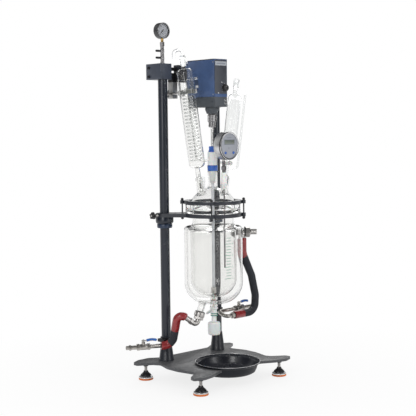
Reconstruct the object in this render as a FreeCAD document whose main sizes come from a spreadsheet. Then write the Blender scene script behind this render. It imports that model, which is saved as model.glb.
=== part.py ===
import math
import os
import re

import FreeCAD
import Part
import Sketcher

os.makedirs("parts", exist_ok=True)
doc = FreeCAD.newDocument("GlassReactor")
sheet = doc.addObject("Spreadsheet::Sheet", "Sizes")

# Driving sizes in millimetres, with the vessel axis at X = 0, Y = 0 and the floor at Z = 0.
SIZES = {
    # Base plate and levelling feet
    "foot_half_span": 207,
    "foot_front": 151,
    "foot_rear": 172,
    "plate_top": 72,
    "plate_thickness": 10,
    "arm_reach": 50,
    "arm_overhang": 34,
    "waist_depth": 7,
    "stud_radius": 6,
    "stud_engagement": 8,
    "pad_radius": 27,
    "pad_neck": 9,
    "pad_height": 30,
    "rubber_radius": 28.5,
    "rubber_thickness": 4,
    "lock_nut_height": 10,
    "lock_nut_radius": 10,
    "thread_clearance": 0.05,
    # Columns, sockets, top blocks and cross rods
    "column_half_span": 136,
    "column_rear": 130,
    "column_radius": 18.2,
    "column_clearance": 0.05,
    "socket_height": 75,
    "socket_foot_radius": 29.5,
    "socket_top_radius": 20,
    "block_width": 56,
    "block_front": 21,
    "block_depth": 87,
    "block_bottom": 1165,
    "block_height": 60,
    "block_roof": 10,
    "rod_radius": 7,
    "rod_rear": 178,
    "lower_rod_level": 1176,
    "rod_spacing": 34,
    "rod_screw_radius": 5.5,
    "rod_screw_head": 5,
    # Support ring and its collars
    "support_top": 650,
    "ring_thickness": 14,
    "ring_radius": 111.7,
    "ring_bore": 84,
    "collar_radius": 34.5,
    "collar_height": 27,
    "stop_ring_radius": 29.5,
    "stop_ring_height": 16,
    "star_knob_radius": 14.5,
    "star_knob_width": 14,
    "star_knob_reach": 59,
    "star_stud_radius": 4,
    # Lid clamp
    "clamp_ring_height": 13,
    "clamp_ring_bore": 92,
    "tie_pitch_radius": 119,
    "tie_radius": 3,
    "tie_lug_radius": 8,
    "tie_nut_radius": 5.8,
    "tie_nut_height": 10,
    "tie_clearance": 0.2,
    # Jacketed vessel
    "flange_radius": 106.5,
    "flange_thickness": 17,
    "gasket_thickness": 2,
    "vessel_mouth": 77,
    "neck_radius": 81.5,
    "inner_radius": 89,
    "inner_wall": 4.5,
    "inner_shoulder": 588,
    "inner_bottom": 321,
    "inner_straight": 385,
    "jacket_radius": 113.5,
    "jacket_wall": 4,
    "jacket_top": 598,
    "jacket_straight": 375,
    "jacket_bottom": 294,
    "drain_radius": 13.5,
    "drain_bore": 9,
    "drain_end": 280,
    "port_level": 574,
    "port_radius": 14,
    "port_bore": 10,
    "port_reach": 121,
    "outlet_angle": -40,
    "inlet_lean": 21,
    "inlet_reach": 52,
    # Lid and its necks
    "dome_radius": 88,
    "dome_height": 63,
    "lid_wall": 5,
    "neck_pitch": 64,
    "neck_lean": 9.2,
    "neck_datum": 55,
    "side_neck_outer": 13.5,
    "side_neck_length": 43,
    "screw_neck_length": 20,
    "spare_neck_length": 30,
    "joint_wide": 11.2,
    "joint_narrow": 9.6,
    "joint_clearance": 0.2,
    "centre_neck_outer": 18.5,
    "centre_neck_length": 63,
    "centre_bore_top": 15.9,
    "centre_bore_low": 10.6,
    # Drive
    "shaft_radius": 4.5,
    "shaft_bottom": 338,
    "shaft_clearance": 0.05,
    "nose_bottom": 1031,
    "nose_height": 26,
    "nose_radius": 26.5,
    "spindle_radius": 8,
    "chuck_height": 31,
    "chuck_radius": 17,
    "chuck_collar_height": 20,
    "chuck_collar_radius": 13.5,
    "motor_width": 68,
    "motor_front": 50,
    "motor_depth": 152,
    "motor_base_height": 38,
    "motor_height": 143,
    "panel_thickness": 2.5,
    "speed_knob_radius": 14,
    "speed_knob_depth": 14,
    "speed_knob_across": 18,
    "speed_knob_level": 1129,
    "bracket_half_width": 30,
    "impeller_hub_radius": 10,
    "impeller_hub_height": 24,
    "impeller_span": 66,
    "impeller_blade_height": 30,
    "impeller_blade_thickness": 4,
    "impeller_turn": 46,
    # Stirrer seal
    "seal_radius": 18.5,
    "seal_height": 51,
    "seal_ring_height": 20,
    "seal_cap_height": 22,
    "seal_cap_radius": 13.5,
    "seal_taper": 46,
    # Thermometer
    "probe_radius": 3,
    "probe_bottom": 441,
    "adapter_height": 46,
    "adapter_radius": 10.6,
    "gland_height": 48,
    "gland_radius": 10,
    "head_radius": 53.5,
    "head_depth": 38,
    "head_back": 6,
    "head_turn": 5,
    "head_wall": 2.5,
    "face_depth": 4,
    "button_radius": 5,
    "button_across": 22.5,
    "button_drop": 26,
    "button_travel": 1.2,
    # Condenser and dropping funnel
    "condenser_radius": 31,
    "condenser_start": 92,
    "condenser_length": 369,
    "condenser_wall": 2.2,
    "joint_tube": 9,
    "condenser_neck_radius": 12.5,
    "condenser_neck_length": 42,
    "clamp_level": 1112,
    "coil_radius": 20,
    "coil_tube": 3.2,
    "coil_pitch": 13,
    "coil_start": 112,
    "coil_turns": 20,
    "barb_radius": 4.5,
    "barb_length": 28,
    "adapter_tube": 5.5,
    "funnel_radius": 26,
    "funnel_start": 141,
    "funnel_length": 225,
    "funnel_wall": 2.2,
    "funnel_neck_radius": 11,
    "side_tube_radius": 4,
    "side_tube_offset": 40,
    "side_tube_angle": -42,
    "stopcock_level": 100,
    "key_radius": 6,
    "key_reach": 17,
    # Drain valve
    "valve_tube_radius": 11,
    "valve_tube_bottom": 258,
    "valve_ring_radius": 14,
    "wheel_top": 222,
    "wheel_height": 51,
    "wheel_radius": 24.5,
    "plug_radius": 5.5,
    # Hoses and ball valves
    "hose_radius": 15.5,
    "pipe_radius": 8,
    "valve_body_radius": 13,
    "lever_length": 52,
    "lever_level": 28,
    "nut_radius": 21.5,
    # Catch dish
    "dish_front": 76,
    "dish_rim_radius": 126.4,
    "dish_wall_radius": 117,
    "dish_base_radius": 98,
    "dish_bottom": 36,
    "dish_rim_rise": 9,
    "dish_wall": 1.6,
    "dish_clearance": 1.2,
    "lip_seat_radius": 121.5,
    # Gauge
    "gauge_level": 1350,
    "gauge_radius": 30.4,
    "gauge_depth": 28,
    "gauge_behind": 17,
    "gauge_wall": 1.6,
    "gauge_pipe_radius": 7,
    "gauge_hex_level": 1291,
    "gauge_hex_height": 16,
    "gauge_brass_radius": 5.5,
}
for row, (alias, value) in enumerate(SIZES.items(), 1):
    sheet.set(f"A{row}", alias)
    sheet.set(f"B{row}", str(value))
    sheet.setAlias(f"B{row}", alias)
doc.recompute()

X_AXIS = FreeCAD.Vector(1, 0, 0)
Y_AXIS = FreeCAD.Vector(0, 1, 0)
Z_AXIS = FreeCAD.Vector(0, 0, 1)
nodes = []
fasteners = []


# Helpers: expressions, placement, and one function for each way a piece is made.
def val(text):
    return float(sheet.evalExpression(text))


def bound(text):
    def named(word):
        return "Sizes." + word.group() if word.group() in SIZES else word.group()

    return re.sub(r"[a-z_]+", named, text)


def bind(item, **sizes):
    for name, text in sizes.items():
        item.setExpression(name, bound(text))
    return item


def place(item, x="0", y="0", z="0", axis=Z_AXIS, angle=0.0):
    spin = FreeCAD.Rotation(axis, angle)
    item.Placement = FreeCAD.Placement(FreeCAD.Vector(val(x), val(y), val(z)), spin)
    for letter, text in zip("xyz", (x, y, z)):
        if text != "0":
            item.setExpression("Placement.Base." + letter, bound(text))
    return item


def unique(kind, name):
    return doc.addObject(kind, name)


def cylinder(name, radius, height, x="0", y="0", z="0", axis=Z_AXIS, angle=0.0):
    item = bind(unique("Part::Cylinder", name), Radius=radius, Height=height)
    return place(item, x, y, z, axis, angle)


def box(name, length, width, height, x, y, z):
    item = bind(unique("Part::Box", name), Length=length, Width=width, Height=height)
    return place(item, x, y, z)


def hexagon(name, radius, height, x="0", y="0", z="0", axis=Z_AXIS, angle=0.0):
    item = bind(unique("Part::Prism", name), Circumradius=radius, Height=height)
    return place(item, x, y, z, axis, angle)


def cut(name, base, *tools):
    for number, tool in enumerate(tools):
        last = number == len(tools) - 1
        step = unique("Part::Cut", name if last else name + "_step")
        step.Base = base
        step.Tool = tool
        base = step
    return base


def fuse(name, *items):
    item = unique("Part::MultiFuse", name)
    item.Shapes = list(items)
    return item


def group(name, *items):
    item = unique("Part::Compound", name)
    item.Links = list(items)
    return item


def solid(name, shape):
    item = unique("Part::Feature", name)
    item.Shape = shape
    return item


def body_with_sketch(name, plane):
    body = unique("PartDesign::Body", name)
    sketch = body.newObject("Sketcher::SketchObject", name + "_outline")
    for feature in body.Origin.OriginFeatures:
        if feature.Role == plane:
            sketch.AttachmentSupport = (feature, [""])
    sketch.MapMode = "FlatFace"
    return body, sketch


def turned(name, *profile, x="0", y="0", z="0", axis=Z_AXIS, angle=0.0):
    """A body of revolution about its own Z axis, from (radius, level) pairs."""
    body, sketch = body_with_sketch(name, "XZ_Plane")
    corners = [FreeCAD.Vector(val(radius), val(level), 0) for radius, level in profile]
    count = len(corners)
    for start, end in zip(corners, corners[1:] + corners[:1]):
        sketch.addGeometry(Part.LineSegment(start, end), False)
    for line in range(count):
        sketch.addConstraint(Sketcher.Constraint("Coincident", line, 2, (line + 1) % count, 1))
    for line, (radius, level) in enumerate(profile):
        ways = (("DistanceX", radius, corners[line].x), ("DistanceY", level, corners[line].y))
        for kind, text, size in ways:
            index = sketch.addConstraint(Sketcher.Constraint(kind, -1, 1, line, 1, size))
            sketch.setExpression(f"Constraints[{index}]", bound(text))
    turn = body.newObject("PartDesign::Revolution", name + "_turn")
    turn.Profile = sketch
    turn.ReferenceAxis = (sketch, ["V_Axis"])
    turn.Angle = 360
    sketch.Visibility = False
    return place(body, x, y, z, axis, angle)


def padded(name, edges, height, z):
    """A body padded up from a closed outline of lines and arcs."""
    body, sketch = body_with_sketch(name, "XY_Plane")
    for edge in edges:
        sketch.addGeometry(edge, False)
    pad = body.newObject("PartDesign::Pad", name + "_pad")
    pad.Profile = sketch
    pad.setExpression("Length", bound(height))
    sketch.Visibility = False
    return place(body, "0", "0", z)


def rounded_outline(points, radii):
    """Lines and tangent arcs round a closed polygon, with a corner radius at each point."""
    count = len(points)
    starts = []
    ends = []
    arcs = []
    for here in range(count):
        corner = FreeCAD.Vector(*points[here], 0)
        back = FreeCAD.Vector(*points[here - 1], 0) - corner
        ahead = FreeCAD.Vector(*points[(here + 1) % count], 0) - corner
        half = back.getAngle(ahead) / 2
        back.normalize()
        ahead.normalize()
        reach = radii[here] / math.tan(half)
        middle = back + ahead
        middle.normalize()
        centre = corner + middle * (radii[here] / math.sin(half))
        starts.append(corner + back * reach)
        ends.append(corner + ahead * reach)
        arcs.append(Part.Arc(starts[-1], centre - middle * radii[here], ends[-1]))
    edges = []
    for here in range(count):
        edges.append(arcs[here])
        edges.append(Part.LineSegment(ends[here], starts[(here + 1) % count]))
    return edges


def revolved(points):
    """A solid turned about Z; a point with a third item is the middle of an arc to the next point."""
    edges = []
    steps = points + points[:1]
    here = FreeCAD.Vector(steps[0][0], 0, steps[0][1])
    middle = None
    for step in steps[1:]:
        spot = FreeCAD.Vector(step[0], 0, step[1])
        if len(step) == 3:
            middle = spot
            continue
        if middle is None:
            edges.append(Part.makeLine(here, spot))
        else:
            edges.append(Part.Arc(here, middle, spot).toShape())
        here = spot
        middle = None
    face = Part.Face(Part.Wire(edges))
    return face.revolve(FreeCAD.Vector(), Z_AXIS, 360)


def rounded_path(points, radii):
    """A wire of straight runs joined by tangent arcs."""
    spots = [FreeCAD.Vector(*point) for point in points]
    edges = []
    here = spots[0]
    for number in range(1, len(spots) - 1):
        corner = spots[number]
        back = spots[number - 1] - corner
        ahead = spots[number + 1] - corner
        half = back.getAngle(ahead) / 2
        back.normalize()
        ahead.normalize()
        radius = radii[number - 1]
        reach = radius / math.tan(half)
        middle = back + ahead
        middle.normalize()
        top = corner + middle * (radius / math.sin(half) - radius)
        start = corner + back * reach
        end = corner + ahead * reach
        if (start - here).Length > 0.001:
            edges.append(Part.makeLine(here, start))
        edges.append(Part.Arc(start, top, end).toShape())
        here = end
    edges.append(Part.makeLine(here, spots[-1]))
    return Part.Wire(edges)


def tube(points, radii, outer, inner=0.0):
    """A round bar or pipe swept along straight runs and tangent arcs."""
    path = rounded_path(points, radii)
    direction = FreeCAD.Vector(*points[1]) - FreeCAD.Vector(*points[0])

    def swept(radius):
        ring = Part.Wire(Part.makeCircle(radius, FreeCAD.Vector(*points[0]), direction))
        return path.makePipeShell([ring], True, False)

    whole = swept(outer)
    return whole.cut(swept(inner)) if inner else whole


def moved(shape, x=0.0, y=0.0, z=0.0, axis=Z_AXIS, angle=0.0):
    copy = shape.copy()
    spin = FreeCAD.Placement(FreeCAD.Vector(x, y, z), FreeCAD.Rotation(axis, angle))
    copy.Placement = spin.multiply(copy.Placement)
    return copy


def node(item, label):
    item.Label = label
    nodes.append(item)
    return item


# Levels that several pieces share.
PLATE_BOTTOM = "plate_top - plate_thickness"
RING_BOTTOM = "support_top - ring_thickness"
KNOB_LEVEL = "support_top - ring_thickness/2"
LID_BASE = "support_top + flange_thickness + gasket_thickness"
LID_TOP = "support_top + 2*flange_thickness + gasket_thickness"
CLAMP_TOP = LID_TOP + " + clamp_ring_height"
CROWN = LID_TOP + " + dome_height"
DATUM = LID_TOP + " + neck_datum"
CENTRE_NECK_TOP = CROWN + " + centre_neck_length"
SEAL_TOP = CENTRE_NECK_TOP + " + 2 + seal_ring_height + seal_height"
CHUCK_TOP = "nose_bottom - 0.3"
MOTOR_BOTTOM = "nose_bottom + nose_height"
BLOCK_TOP = "block_bottom + block_height"


# Base plate: a padded outline with four flared arms and a round seat for the catch dish.
def base_plate():
    tip = val("foot_half_span + arm_reach")
    waist = val("foot_half_span") - val("waist_depth") + 8
    front = -val("foot_front") - val("arm_overhang")
    rear = val("foot_rear") + val("arm_overhang")
    quarter_rear = [
        (waist + 8, 40.0),
        (waist - 12, 104.0),
        (waist + 4, 130.0),
        (tip, rear - 42),
        (tip, rear - 20),
        (tip - 40, rear),
        (tip - 92, rear),
        (tip - 128, rear - 24),
    ]
    quarter_front = [
        (waist + 8, -20.0),
        (waist - 8, -92.0),
        (waist + 2, -112.0),
        (tip - 6, front + 40),
        (tip - 2, front + 16),
        (tip - 42, front),
        (tip - 92, front + 10),
        (tip - 152, front + 40),
    ]
    radii_rear = [60.0, 20.0, 12.0, 8.0, 9.0, 30.0, 25.0, 18.0]
    radii_front = [60.0, 14.0, 8.0, 10.0, 9.0, 26.0, 40.0, 20.0]
    right = quarter_rear[::-1] + quarter_front
    right_radii = radii_rear[::-1] + radii_front
    points = right + [(-x, y) for x, y in reversed(right)]
    radii = right_radii + right_radii[::-1]
    body = padded("PlateBody", rounded_outline(points, radii), "plate_thickness", PLATE_BOTTOM)
    tools = [
        cylinder(
            "DishSeat",
            "dish_wall_radius + dish_clearance",
            "plate_thickness + 2",
            "0",
            "-dish_front",
            PLATE_BOTTOM + " - 1",
        )
    ]
    for side in (-1, 1):
        for depth in ("-foot_front", "foot_rear"):
            tools.append(
                cylinder(
                    "StudHole",
                    "stud_radius + thread_clearance",
                    "stud_engagement + 1",
                    f"{side}*foot_half_span",
                    depth,
                    PLATE_BOTTOM + " - 1",
                )
            )
    node(cut("BasePlate", body, *tools), "base_plate")


base_plate()


# Levelling feet: threaded stud, swivel pad and rubber sole, with a lock nut under the plate.
def levelling_feet():
    number = 0
    for depth in ("-foot_front", "foot_rear"):
        for side in (-1, 1):
            number += 1
            across = f"{side}*foot_half_span"
            stud = turned(
                f"Stud{number}",
                ("0", "rubber_thickness + pad_height - 3"),
                ("stud_radius", "rubber_thickness + pad_height - 3"),
                ("stud_radius", PLATE_BOTTOM + " + stud_engagement - 0.5"),
                ("0", PLATE_BOTTOM + " + stud_engagement - 0.5"),
                x=across,
                y=depth,
            )
            pad = turned(
                f"Pad{number}",
                ("0", "rubber_thickness"),
                ("pad_radius", "rubber_thickness"),
                ("pad_radius", "rubber_thickness + 4"),
                ("pad_radius*0.82", "rubber_thickness + 9"),
                ("pad_neck + 2", "rubber_thickness + 21"),
                ("pad_neck", "rubber_thickness + pad_height"),
                ("stud_radius", "rubber_thickness + pad_height"),
                ("stud_radius", "rubber_thickness + pad_height - 3"),
                ("0", "rubber_thickness + pad_height - 3"),
                x=across,
                y=depth,
            )
            sole = cylinder(f"Sole{number}", "rubber_radius", "rubber_thickness", across, depth)
            node(group(f"Foot{number}", stud, pad, sole), f"levelling_foot_{number}")
            nut = hexagon(
                f"LockNut{number}",
                "lock_nut_radius",
                "lock_nut_height",
                across,
                depth,
                PLATE_BOTTOM + " - lock_nut_height",
            )
            bore = cylinder(
                f"NutBore{number}",
                "stud_radius + thread_clearance",
                "lock_nut_height + 2",
                across,
                depth,
                PLATE_BOTTOM + " - lock_nut_height - 1",
            )
            fasteners.append(cut(f"Nut{number}", nut, bore))


levelling_feet()


# Columns, their conical sockets, the top blocks and the two cross rods.
def stand_columns():
    columns = []
    sockets = []
    blocks = []
    for side, name in ((-1, "left"), (1, "right")):
        across = f"{side}*column_half_span"
        column = cylinder(
            name.title() + "Column",
            "column_radius",
            BLOCK_TOP + " - block_roof - 0.1 - plate_top",
            across,
            "column_rear",
            "plate_top",
        )
        columns.append(column)
        sockets.append(
            turned(
                name.title() + "Socket",
                ("column_radius + column_clearance", "0"),
                ("socket_foot_radius", "0"),
                ("socket_foot_radius", "5"),
                ("socket_top_radius", "socket_height - 2"),
                ("socket_top_radius - 1", "socket_height"),
                ("column_radius + column_clearance", "socket_height"),
                x=across,
                y="column_rear",
                z="plate_top",
            )
        )
        block = box(
            name.title() + "BlockBlank",
            "block_width",
            "block_depth",
            "block_height",
            f"{side}*column_half_span - block_width/2",
            "column_rear - block_front",
            "block_bottom",
        )
        tools = [
            cylinder(
                "ColumnBore",
                "column_radius + column_clearance",
                "block_height - block_roof + 1",
                across,
                "column_rear",
                "block_bottom - 1",
            )
        ]
        for step in ("0", "rod_spacing"):
            tools.append(
                cylinder(
                    "RodBore",
                    "rod_radius + column_clearance",
                    "block_width + 2",
                    f"{side}*column_half_span - block_width/2 - 1",
                    "rod_rear",
                    f"lower_rod_level + {step}",
                    Y_AXIS,
                    90,
                )
            )
        blocks.append(cut(name.title() + "Block", block, *tools))
    node(group("Columns", *columns), "columns")
    node(group("Sockets", *sockets), "column_sockets")
    node(group("Blocks", *blocks), "top_blocks")
    rods = []
    for step in ("0", "rod_spacing"):
        rods.append(
            cylinder(
                "CrossRod",
                "rod_radius",
                "2*column_half_span + block_width",
                "-column_half_span - block_width/2",
                "rod_rear",
                f"lower_rod_level + {step}",
                Y_AXIS,
                90,
            )
        )
        for side in (-1, 1):
            start = f"{side}*(column_half_span + block_width/2)"
            if side < 0:
                start += " - rod_screw_head"
            fasteners.append(
                cylinder(
                    "RodScrew",
                    "rod_screw_radius",
                    "rod_screw_head",
                    start,
                    "rod_rear",
                    f"lower_rod_level + {step}",
                    Y_AXIS,
                    90,
                )
            )
    node(group("CrossRods", *rods), "cross_rods")
    node(group("StandFasteners", *fasteners), "stand_fasteners")


stand_columns()


# Support ring: one plate that reaches from both columns and carries the vessel flange.
def support_ring():
    half = val("column_half_span")
    rear = val("column_rear")
    ring = val("ring_radius")
    collar = val("collar_radius")
    thick = val("ring_thickness")
    level = val(RING_BOTTOM)
    disc = Part.makeCylinder(ring, thick, FreeCAD.Vector(0, 0, level))
    shape = disc
    angle = math.atan2(rear, half)
    span = math.hypot(half, rear)
    lean = math.asin((ring * 0.5 - collar) / span)
    for side in (-1, 1):
        boss = Part.makeCylinder(collar, thick, FreeCAD.Vector(side * half, rear, level))
        corners = []
        for turn, reach in ((1, ring * 0.5), (-1, ring * 0.5)):
            heading = angle + turn * (math.pi / 2 - lean)
            corners.append((side * reach * math.cos(heading), reach * math.sin(heading)))
        for turn in (-1, 1):
            heading = angle + turn * (math.pi / 2 - lean)
            across = side * (half + collar * math.cos(heading))
            corners.append((across, rear + collar * math.sin(heading)))
        web = Part.makePolygon([FreeCAD.Vector(x, y, level) for x, y in corners + corners[:1]])
        shape = shape.fuse([boss, Part.Face(web).extrude(FreeCAD.Vector(0, 0, thick))])
    for number in range(4):
        heading = math.radians(45 + 90 * number)
        pitch = val("tie_pitch_radius")
        spot = FreeCAD.Vector(pitch * math.cos(heading), pitch * math.sin(heading), level)
        shape = shape.fuse(Part.makeCylinder(val("tie_lug_radius"), thick, spot))
        shape = shape.cut(Part.makeCylinder(val("tie_radius + tie_clearance"), thick, spot))
    shape = shape.cut(Part.makeCylinder(val("ring_bore"), thick, FreeCAD.Vector(0, 0, level)))
    for side in (-1, 1):
        spot = FreeCAD.Vector(side * half, rear, level)
        shape = shape.cut(Part.makeCylinder(val("column_radius + column_clearance"), thick, spot))
        stud = val("star_stud_radius + thread_clearance")
        stud_spot = FreeCAD.Vector(side * half, rear, val(KNOB_LEVEL))
        shape = shape.cut(Part.makeCylinder(stud, 2 * collar, stud_spot, X_AXIS * side))
    node(solid("SupportRing", shape.removeSplitter()), "support_ring")


support_ring()


# Collars that grip the columns under the ring, the stop rings below them, and the star knobs.
def collars():
    pieces = []
    for side in (-1, 1):
        across = f"{side}*column_half_span"
        collar = turned(
            "Collar",
            ("column_radius + column_clearance", "0"),
            ("collar_radius - 6", "0"),
            ("collar_radius", "7"),
            ("collar_radius", "collar_height"),
            ("column_radius + column_clearance", "collar_height"),
            x=across,
            y="column_rear",
            z=RING_BOTTOM + " - collar_height",
        )
        pieces.append(collar)
        pieces.append(
            turned(
                "StopRing",
                ("column_radius + column_clearance", "0"),
                ("stop_ring_radius - 2", "0"),
                ("stop_ring_radius", "2"),
                ("stop_ring_radius", "stop_ring_height"),
                ("column_radius + column_clearance", "stop_ring_height"),
                x=across,
                y="column_rear",
                z=RING_BOTTOM + " - collar_height - stop_ring_height",
            )
        )
    node(group("Collars", *pieces), "column_collars")
    for side, name in ((-1, "left"), (1, "right")):
        knob = val("star_knob_radius")
        width = val("star_knob_width")
        reach = val("star_knob_reach")
        shape = Part.makeCylinder(knob * 0.66, width, FreeCAD.Vector(0, 0, reach - width / 2))
        for lobe in range(5):
            heading = math.radians(72 * lobe)
            lobe_reach = knob * 0.66
            spot = FreeCAD.Vector(
                lobe_reach * math.cos(heading), lobe_reach * math.sin(heading), reach - width / 2
            )
            shape = shape.fuse(Part.makeCylinder(knob * 0.34, width, spot))
        inner = val("column_radius + column_clearance + 0.2")
        stud_length = reach - width / 2 - inner
        stud = Part.makeCylinder(val("star_stud_radius"), stud_length, FreeCAD.Vector(0, 0, inner))
        shape = shape.fuse(stud).removeSplitter()
        item = solid(name.title() + "StarKnob", shape)
        place(item, f"{side}*column_half_span", "column_rear", KNOB_LEVEL, Y_AXIS, 90 * side)
        node(item, name + "_star_knob")


collars()


# Lid clamp: the upper ring and the four tie rods with their nuts.
def lid_clamp():
    level = val(LID_TOP)
    thick = val("clamp_ring_height")
    shape = Part.makeCylinder(val("ring_radius"), thick, FreeCAD.Vector(0, 0, level))
    pitch = val("tie_pitch_radius")
    rods = []
    for number in range(4):
        heading = math.radians(45 + 90 * number)
        x = pitch * math.cos(heading)
        y = pitch * math.sin(heading)
        spot = FreeCAD.Vector(x, y, level)
        shape = shape.fuse(Part.makeCylinder(val("tie_lug_radius"), thick, spot))
        shape = shape.cut(Part.makeCylinder(val("tie_radius + tie_clearance"), thick, spot))
        nut = val("tie_nut_height")
        low = val(RING_BOTTOM)
        high = level + thick
        profile = [
            (0.0, low - nut),
            (val("tie_nut_radius") - 1, low - nut),
            (val("tie_nut_radius"), low - nut + 1),
            (val("tie_nut_radius"), low),
            (val("tie_radius"), low),
            (val("tie_radius"), high),
            (val("tie_nut_radius"), high),
            (val("tie_nut_radius"), high + 5),
            (val("tie_nut_radius") * 0.6, high + nut),
            (0.0, high + nut),
        ]
        rods.append(moved(revolved(profile), x, y))
    shape = shape.cut(Part.makeCylinder(val("clamp_ring_bore"), thick, FreeCAD.Vector(0, 0, level)))
    node(solid("ClampRing", shape.removeSplitter()), "clamp_ring")
    node(solid("TieRods", Part.makeCompound(rods)), "tie_rods")


lid_clamp()


# Jacketed vessel: inner pot and jacket in one piece of glass, with drain tube, two outlets and one inlet.
def inlet_direction():
    lean = math.radians(val("inlet_lean"))
    return FreeCAD.Vector(-math.sin(lean), 0, -math.cos(lean))


INLET_ROOT = FreeCAD.Vector(-53, 0, 321)


def vessel():
    top = val("support_top + flange_thickness")
    base = val("support_top")
    neck = val("neck_radius")
    inner = val("inner_radius")
    jacket = val("jacket_radius")
    wall = val("inner_wall")
    skin = val("jacket_wall")
    drain = val("drain_radius")
    low = val("jacket_bottom")
    straight = val("jacket_straight")
    outer = revolved(
        [
            (0.0, val("drain_end")),
            (drain, val("drain_end")),
            (drain, low + 4),
            (jacket * 0.74, low + 23, "arc"),
            (jacket, straight),
            (jacket, val("jacket_top") - 12),
            (jacket - 4, val("jacket_top") - 3, "arc"),
            (jacket - 13, val("jacket_top")),
            (neck, val("jacket_top") + 5),
            (neck, base),
            (val("flange_radius"), base),
            (val("flange_radius"), top),
            (0.0, top),
        ]
    )
    pot = revolved(
        [
            (0.0, val("drain_end")),
            (val("drain_bore"), val("drain_end")),
            (val("drain_bore"), val("inner_bottom") + wall),
            (inner * 0.68, val("inner_bottom") + wall + 17.5, "arc"),
            (inner - wall, val("inner_straight")),
            (inner - wall, val("inner_shoulder") - 6),
            (val("vessel_mouth"), val("inner_shoulder") + 16),
            (val("vessel_mouth"), top),
            (0.0, top),
        ]
    )
    space = revolved(
        [
            (drain, low + 9),
            (jacket * 0.705, low + 26.5, "arc"),
            (jacket - skin, straight + 2),
            (jacket - skin, val("jacket_top") - 12),
            (jacket - 13, val("jacket_top") - 4),
            (inner + 4, val("jacket_top") - 6),
            (inner, val("inner_shoulder") - 6),
            (inner, val("inner_straight")),
            (inner * 0.7, val("inner_bottom") + 17, "arc"),
            (drain, val("inner_bottom")),
        ]
    )
    shape = outer
    reach = val("port_reach")
    level = val("port_level")
    heads = (math.radians(val("outlet_angle")), 0.0)
    for heading in heads:
        out = FreeCAD.Vector(math.cos(heading), math.sin(heading), 0)
        start = out * (jacket - skin) + FreeCAD.Vector(0, 0, level)
        shape = shape.fuse(Part.makeCylinder(val("port_radius"), reach - jacket + skin, start, out))
    down = inlet_direction()
    shape = shape.fuse(Part.makeCylinder(val("port_radius"), val("inlet_reach"), INLET_ROOT, down))
    shape = shape.cut(pot).cut(space)
    for heading in heads:
        out = FreeCAD.Vector(math.cos(heading), math.sin(heading), 0)
        start = out * (inner + 6) + FreeCAD.Vector(0, 0, level)
        shape = shape.cut(Part.makeCylinder(val("port_bore"), reach, start, out))
    shape = shape.cut(Part.makeCylinder(val("port_bore"), 80, INLET_ROOT, down))
    node(solid("VesselGlass", shape), "vessel_glass")
    ring = Part.makeCylinder(val("flange_radius"), val("gasket_thickness"), FreeCAD.Vector(0, 0, top))
    hole = Part.makeCylinder(val("vessel_mouth") + 6, val("gasket_thickness"), FreeCAD.Vector(0, 0, top))
    node(solid("Gasket", ring.cut(hole)), "flange_gasket")


vessel()


# Domed lid with five necks: centre, two leaning, one for the thermometer and one spare.
def lid():
    base = val(LID_BASE)
    top = val(LID_TOP)
    dome = val("dome_radius")
    rise = val("dome_height")
    ball = (dome * dome + rise * rise) / (2 * rise)
    wall = val("lid_wall")
    middle = FreeCAD.Vector(0, 0, top + rise - ball)
    above = Part.makeCylinder(ball + 5, ball + rise, FreeCAD.Vector(0, 0, top - 0.5))
    flange = Part.makeCylinder(val("flange_radius"), top - base, FreeCAD.Vector(0, 0, base))
    shape = flange.fuse(Part.makeSphere(ball, middle).common(above))
    pitch = val("neck_pitch")
    datum = val(DATUM)
    lean = val("neck_lean")
    necks = (
        (-pitch, 0.0, -lean, val("side_neck_length")),
        (pitch, 0.0, lean, val("side_neck_length")),
        (0.0, -pitch, 0.0, val("screw_neck_length")),
        (0.0, pitch, 0.0, val("spare_neck_length")),
    )
    bores = []
    for x, y, tilt, length in necks:
        outer = Part.makeCylinder(val("side_neck_outer"), length + 34, FreeCAD.Vector(0, 0, -34))
        shape = shape.fuse(moved(outer, x, y, datum, Y_AXIS, tilt))
        taper = Part.makeCone(
            val("joint_narrow"), val("joint_wide"), length + 0.01, FreeCAD.Vector(0, 0, 0)
        )
        bore = taper.fuse(Part.makeCylinder(val("joint_narrow"), 50, FreeCAD.Vector(0, 0, -50)))
        bores.append(moved(bore, x, y, datum, Y_AXIS, tilt))
    crown = val(CROWN)
    neck = val("centre_neck_length")
    root = FreeCAD.Vector(0, 0, crown - 6)
    shape = shape.fuse(Part.makeCylinder(val("centre_neck_outer"), neck + 6, root))
    taper = Part.makeCone(
        val("centre_bore_low"),
        val("centre_bore_top"),
        val("seal_taper") + 0.01,
        FreeCAD.Vector(0, 0, crown + neck - val("seal_taper")),
    )
    low_bore = Part.makeCylinder(val("centre_bore_low"), 60, FreeCAD.Vector(0, 0, crown - 30))
    bores.append(taper.fuse(low_bore))
    inner = Part.makeSphere(ball - wall, middle).common(above)
    mouth = math.sqrt((ball - wall) ** 2 - (ball - rise) ** 2)
    inner = inner.fuse(Part.makeCylinder(mouth - 1, top - base + 2, FreeCAD.Vector(0, 0, base - 1)))
    shape = shape.cut([inner] + bores)
    node(solid("LidGlass", shape), "lid_glass")


lid()


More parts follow.
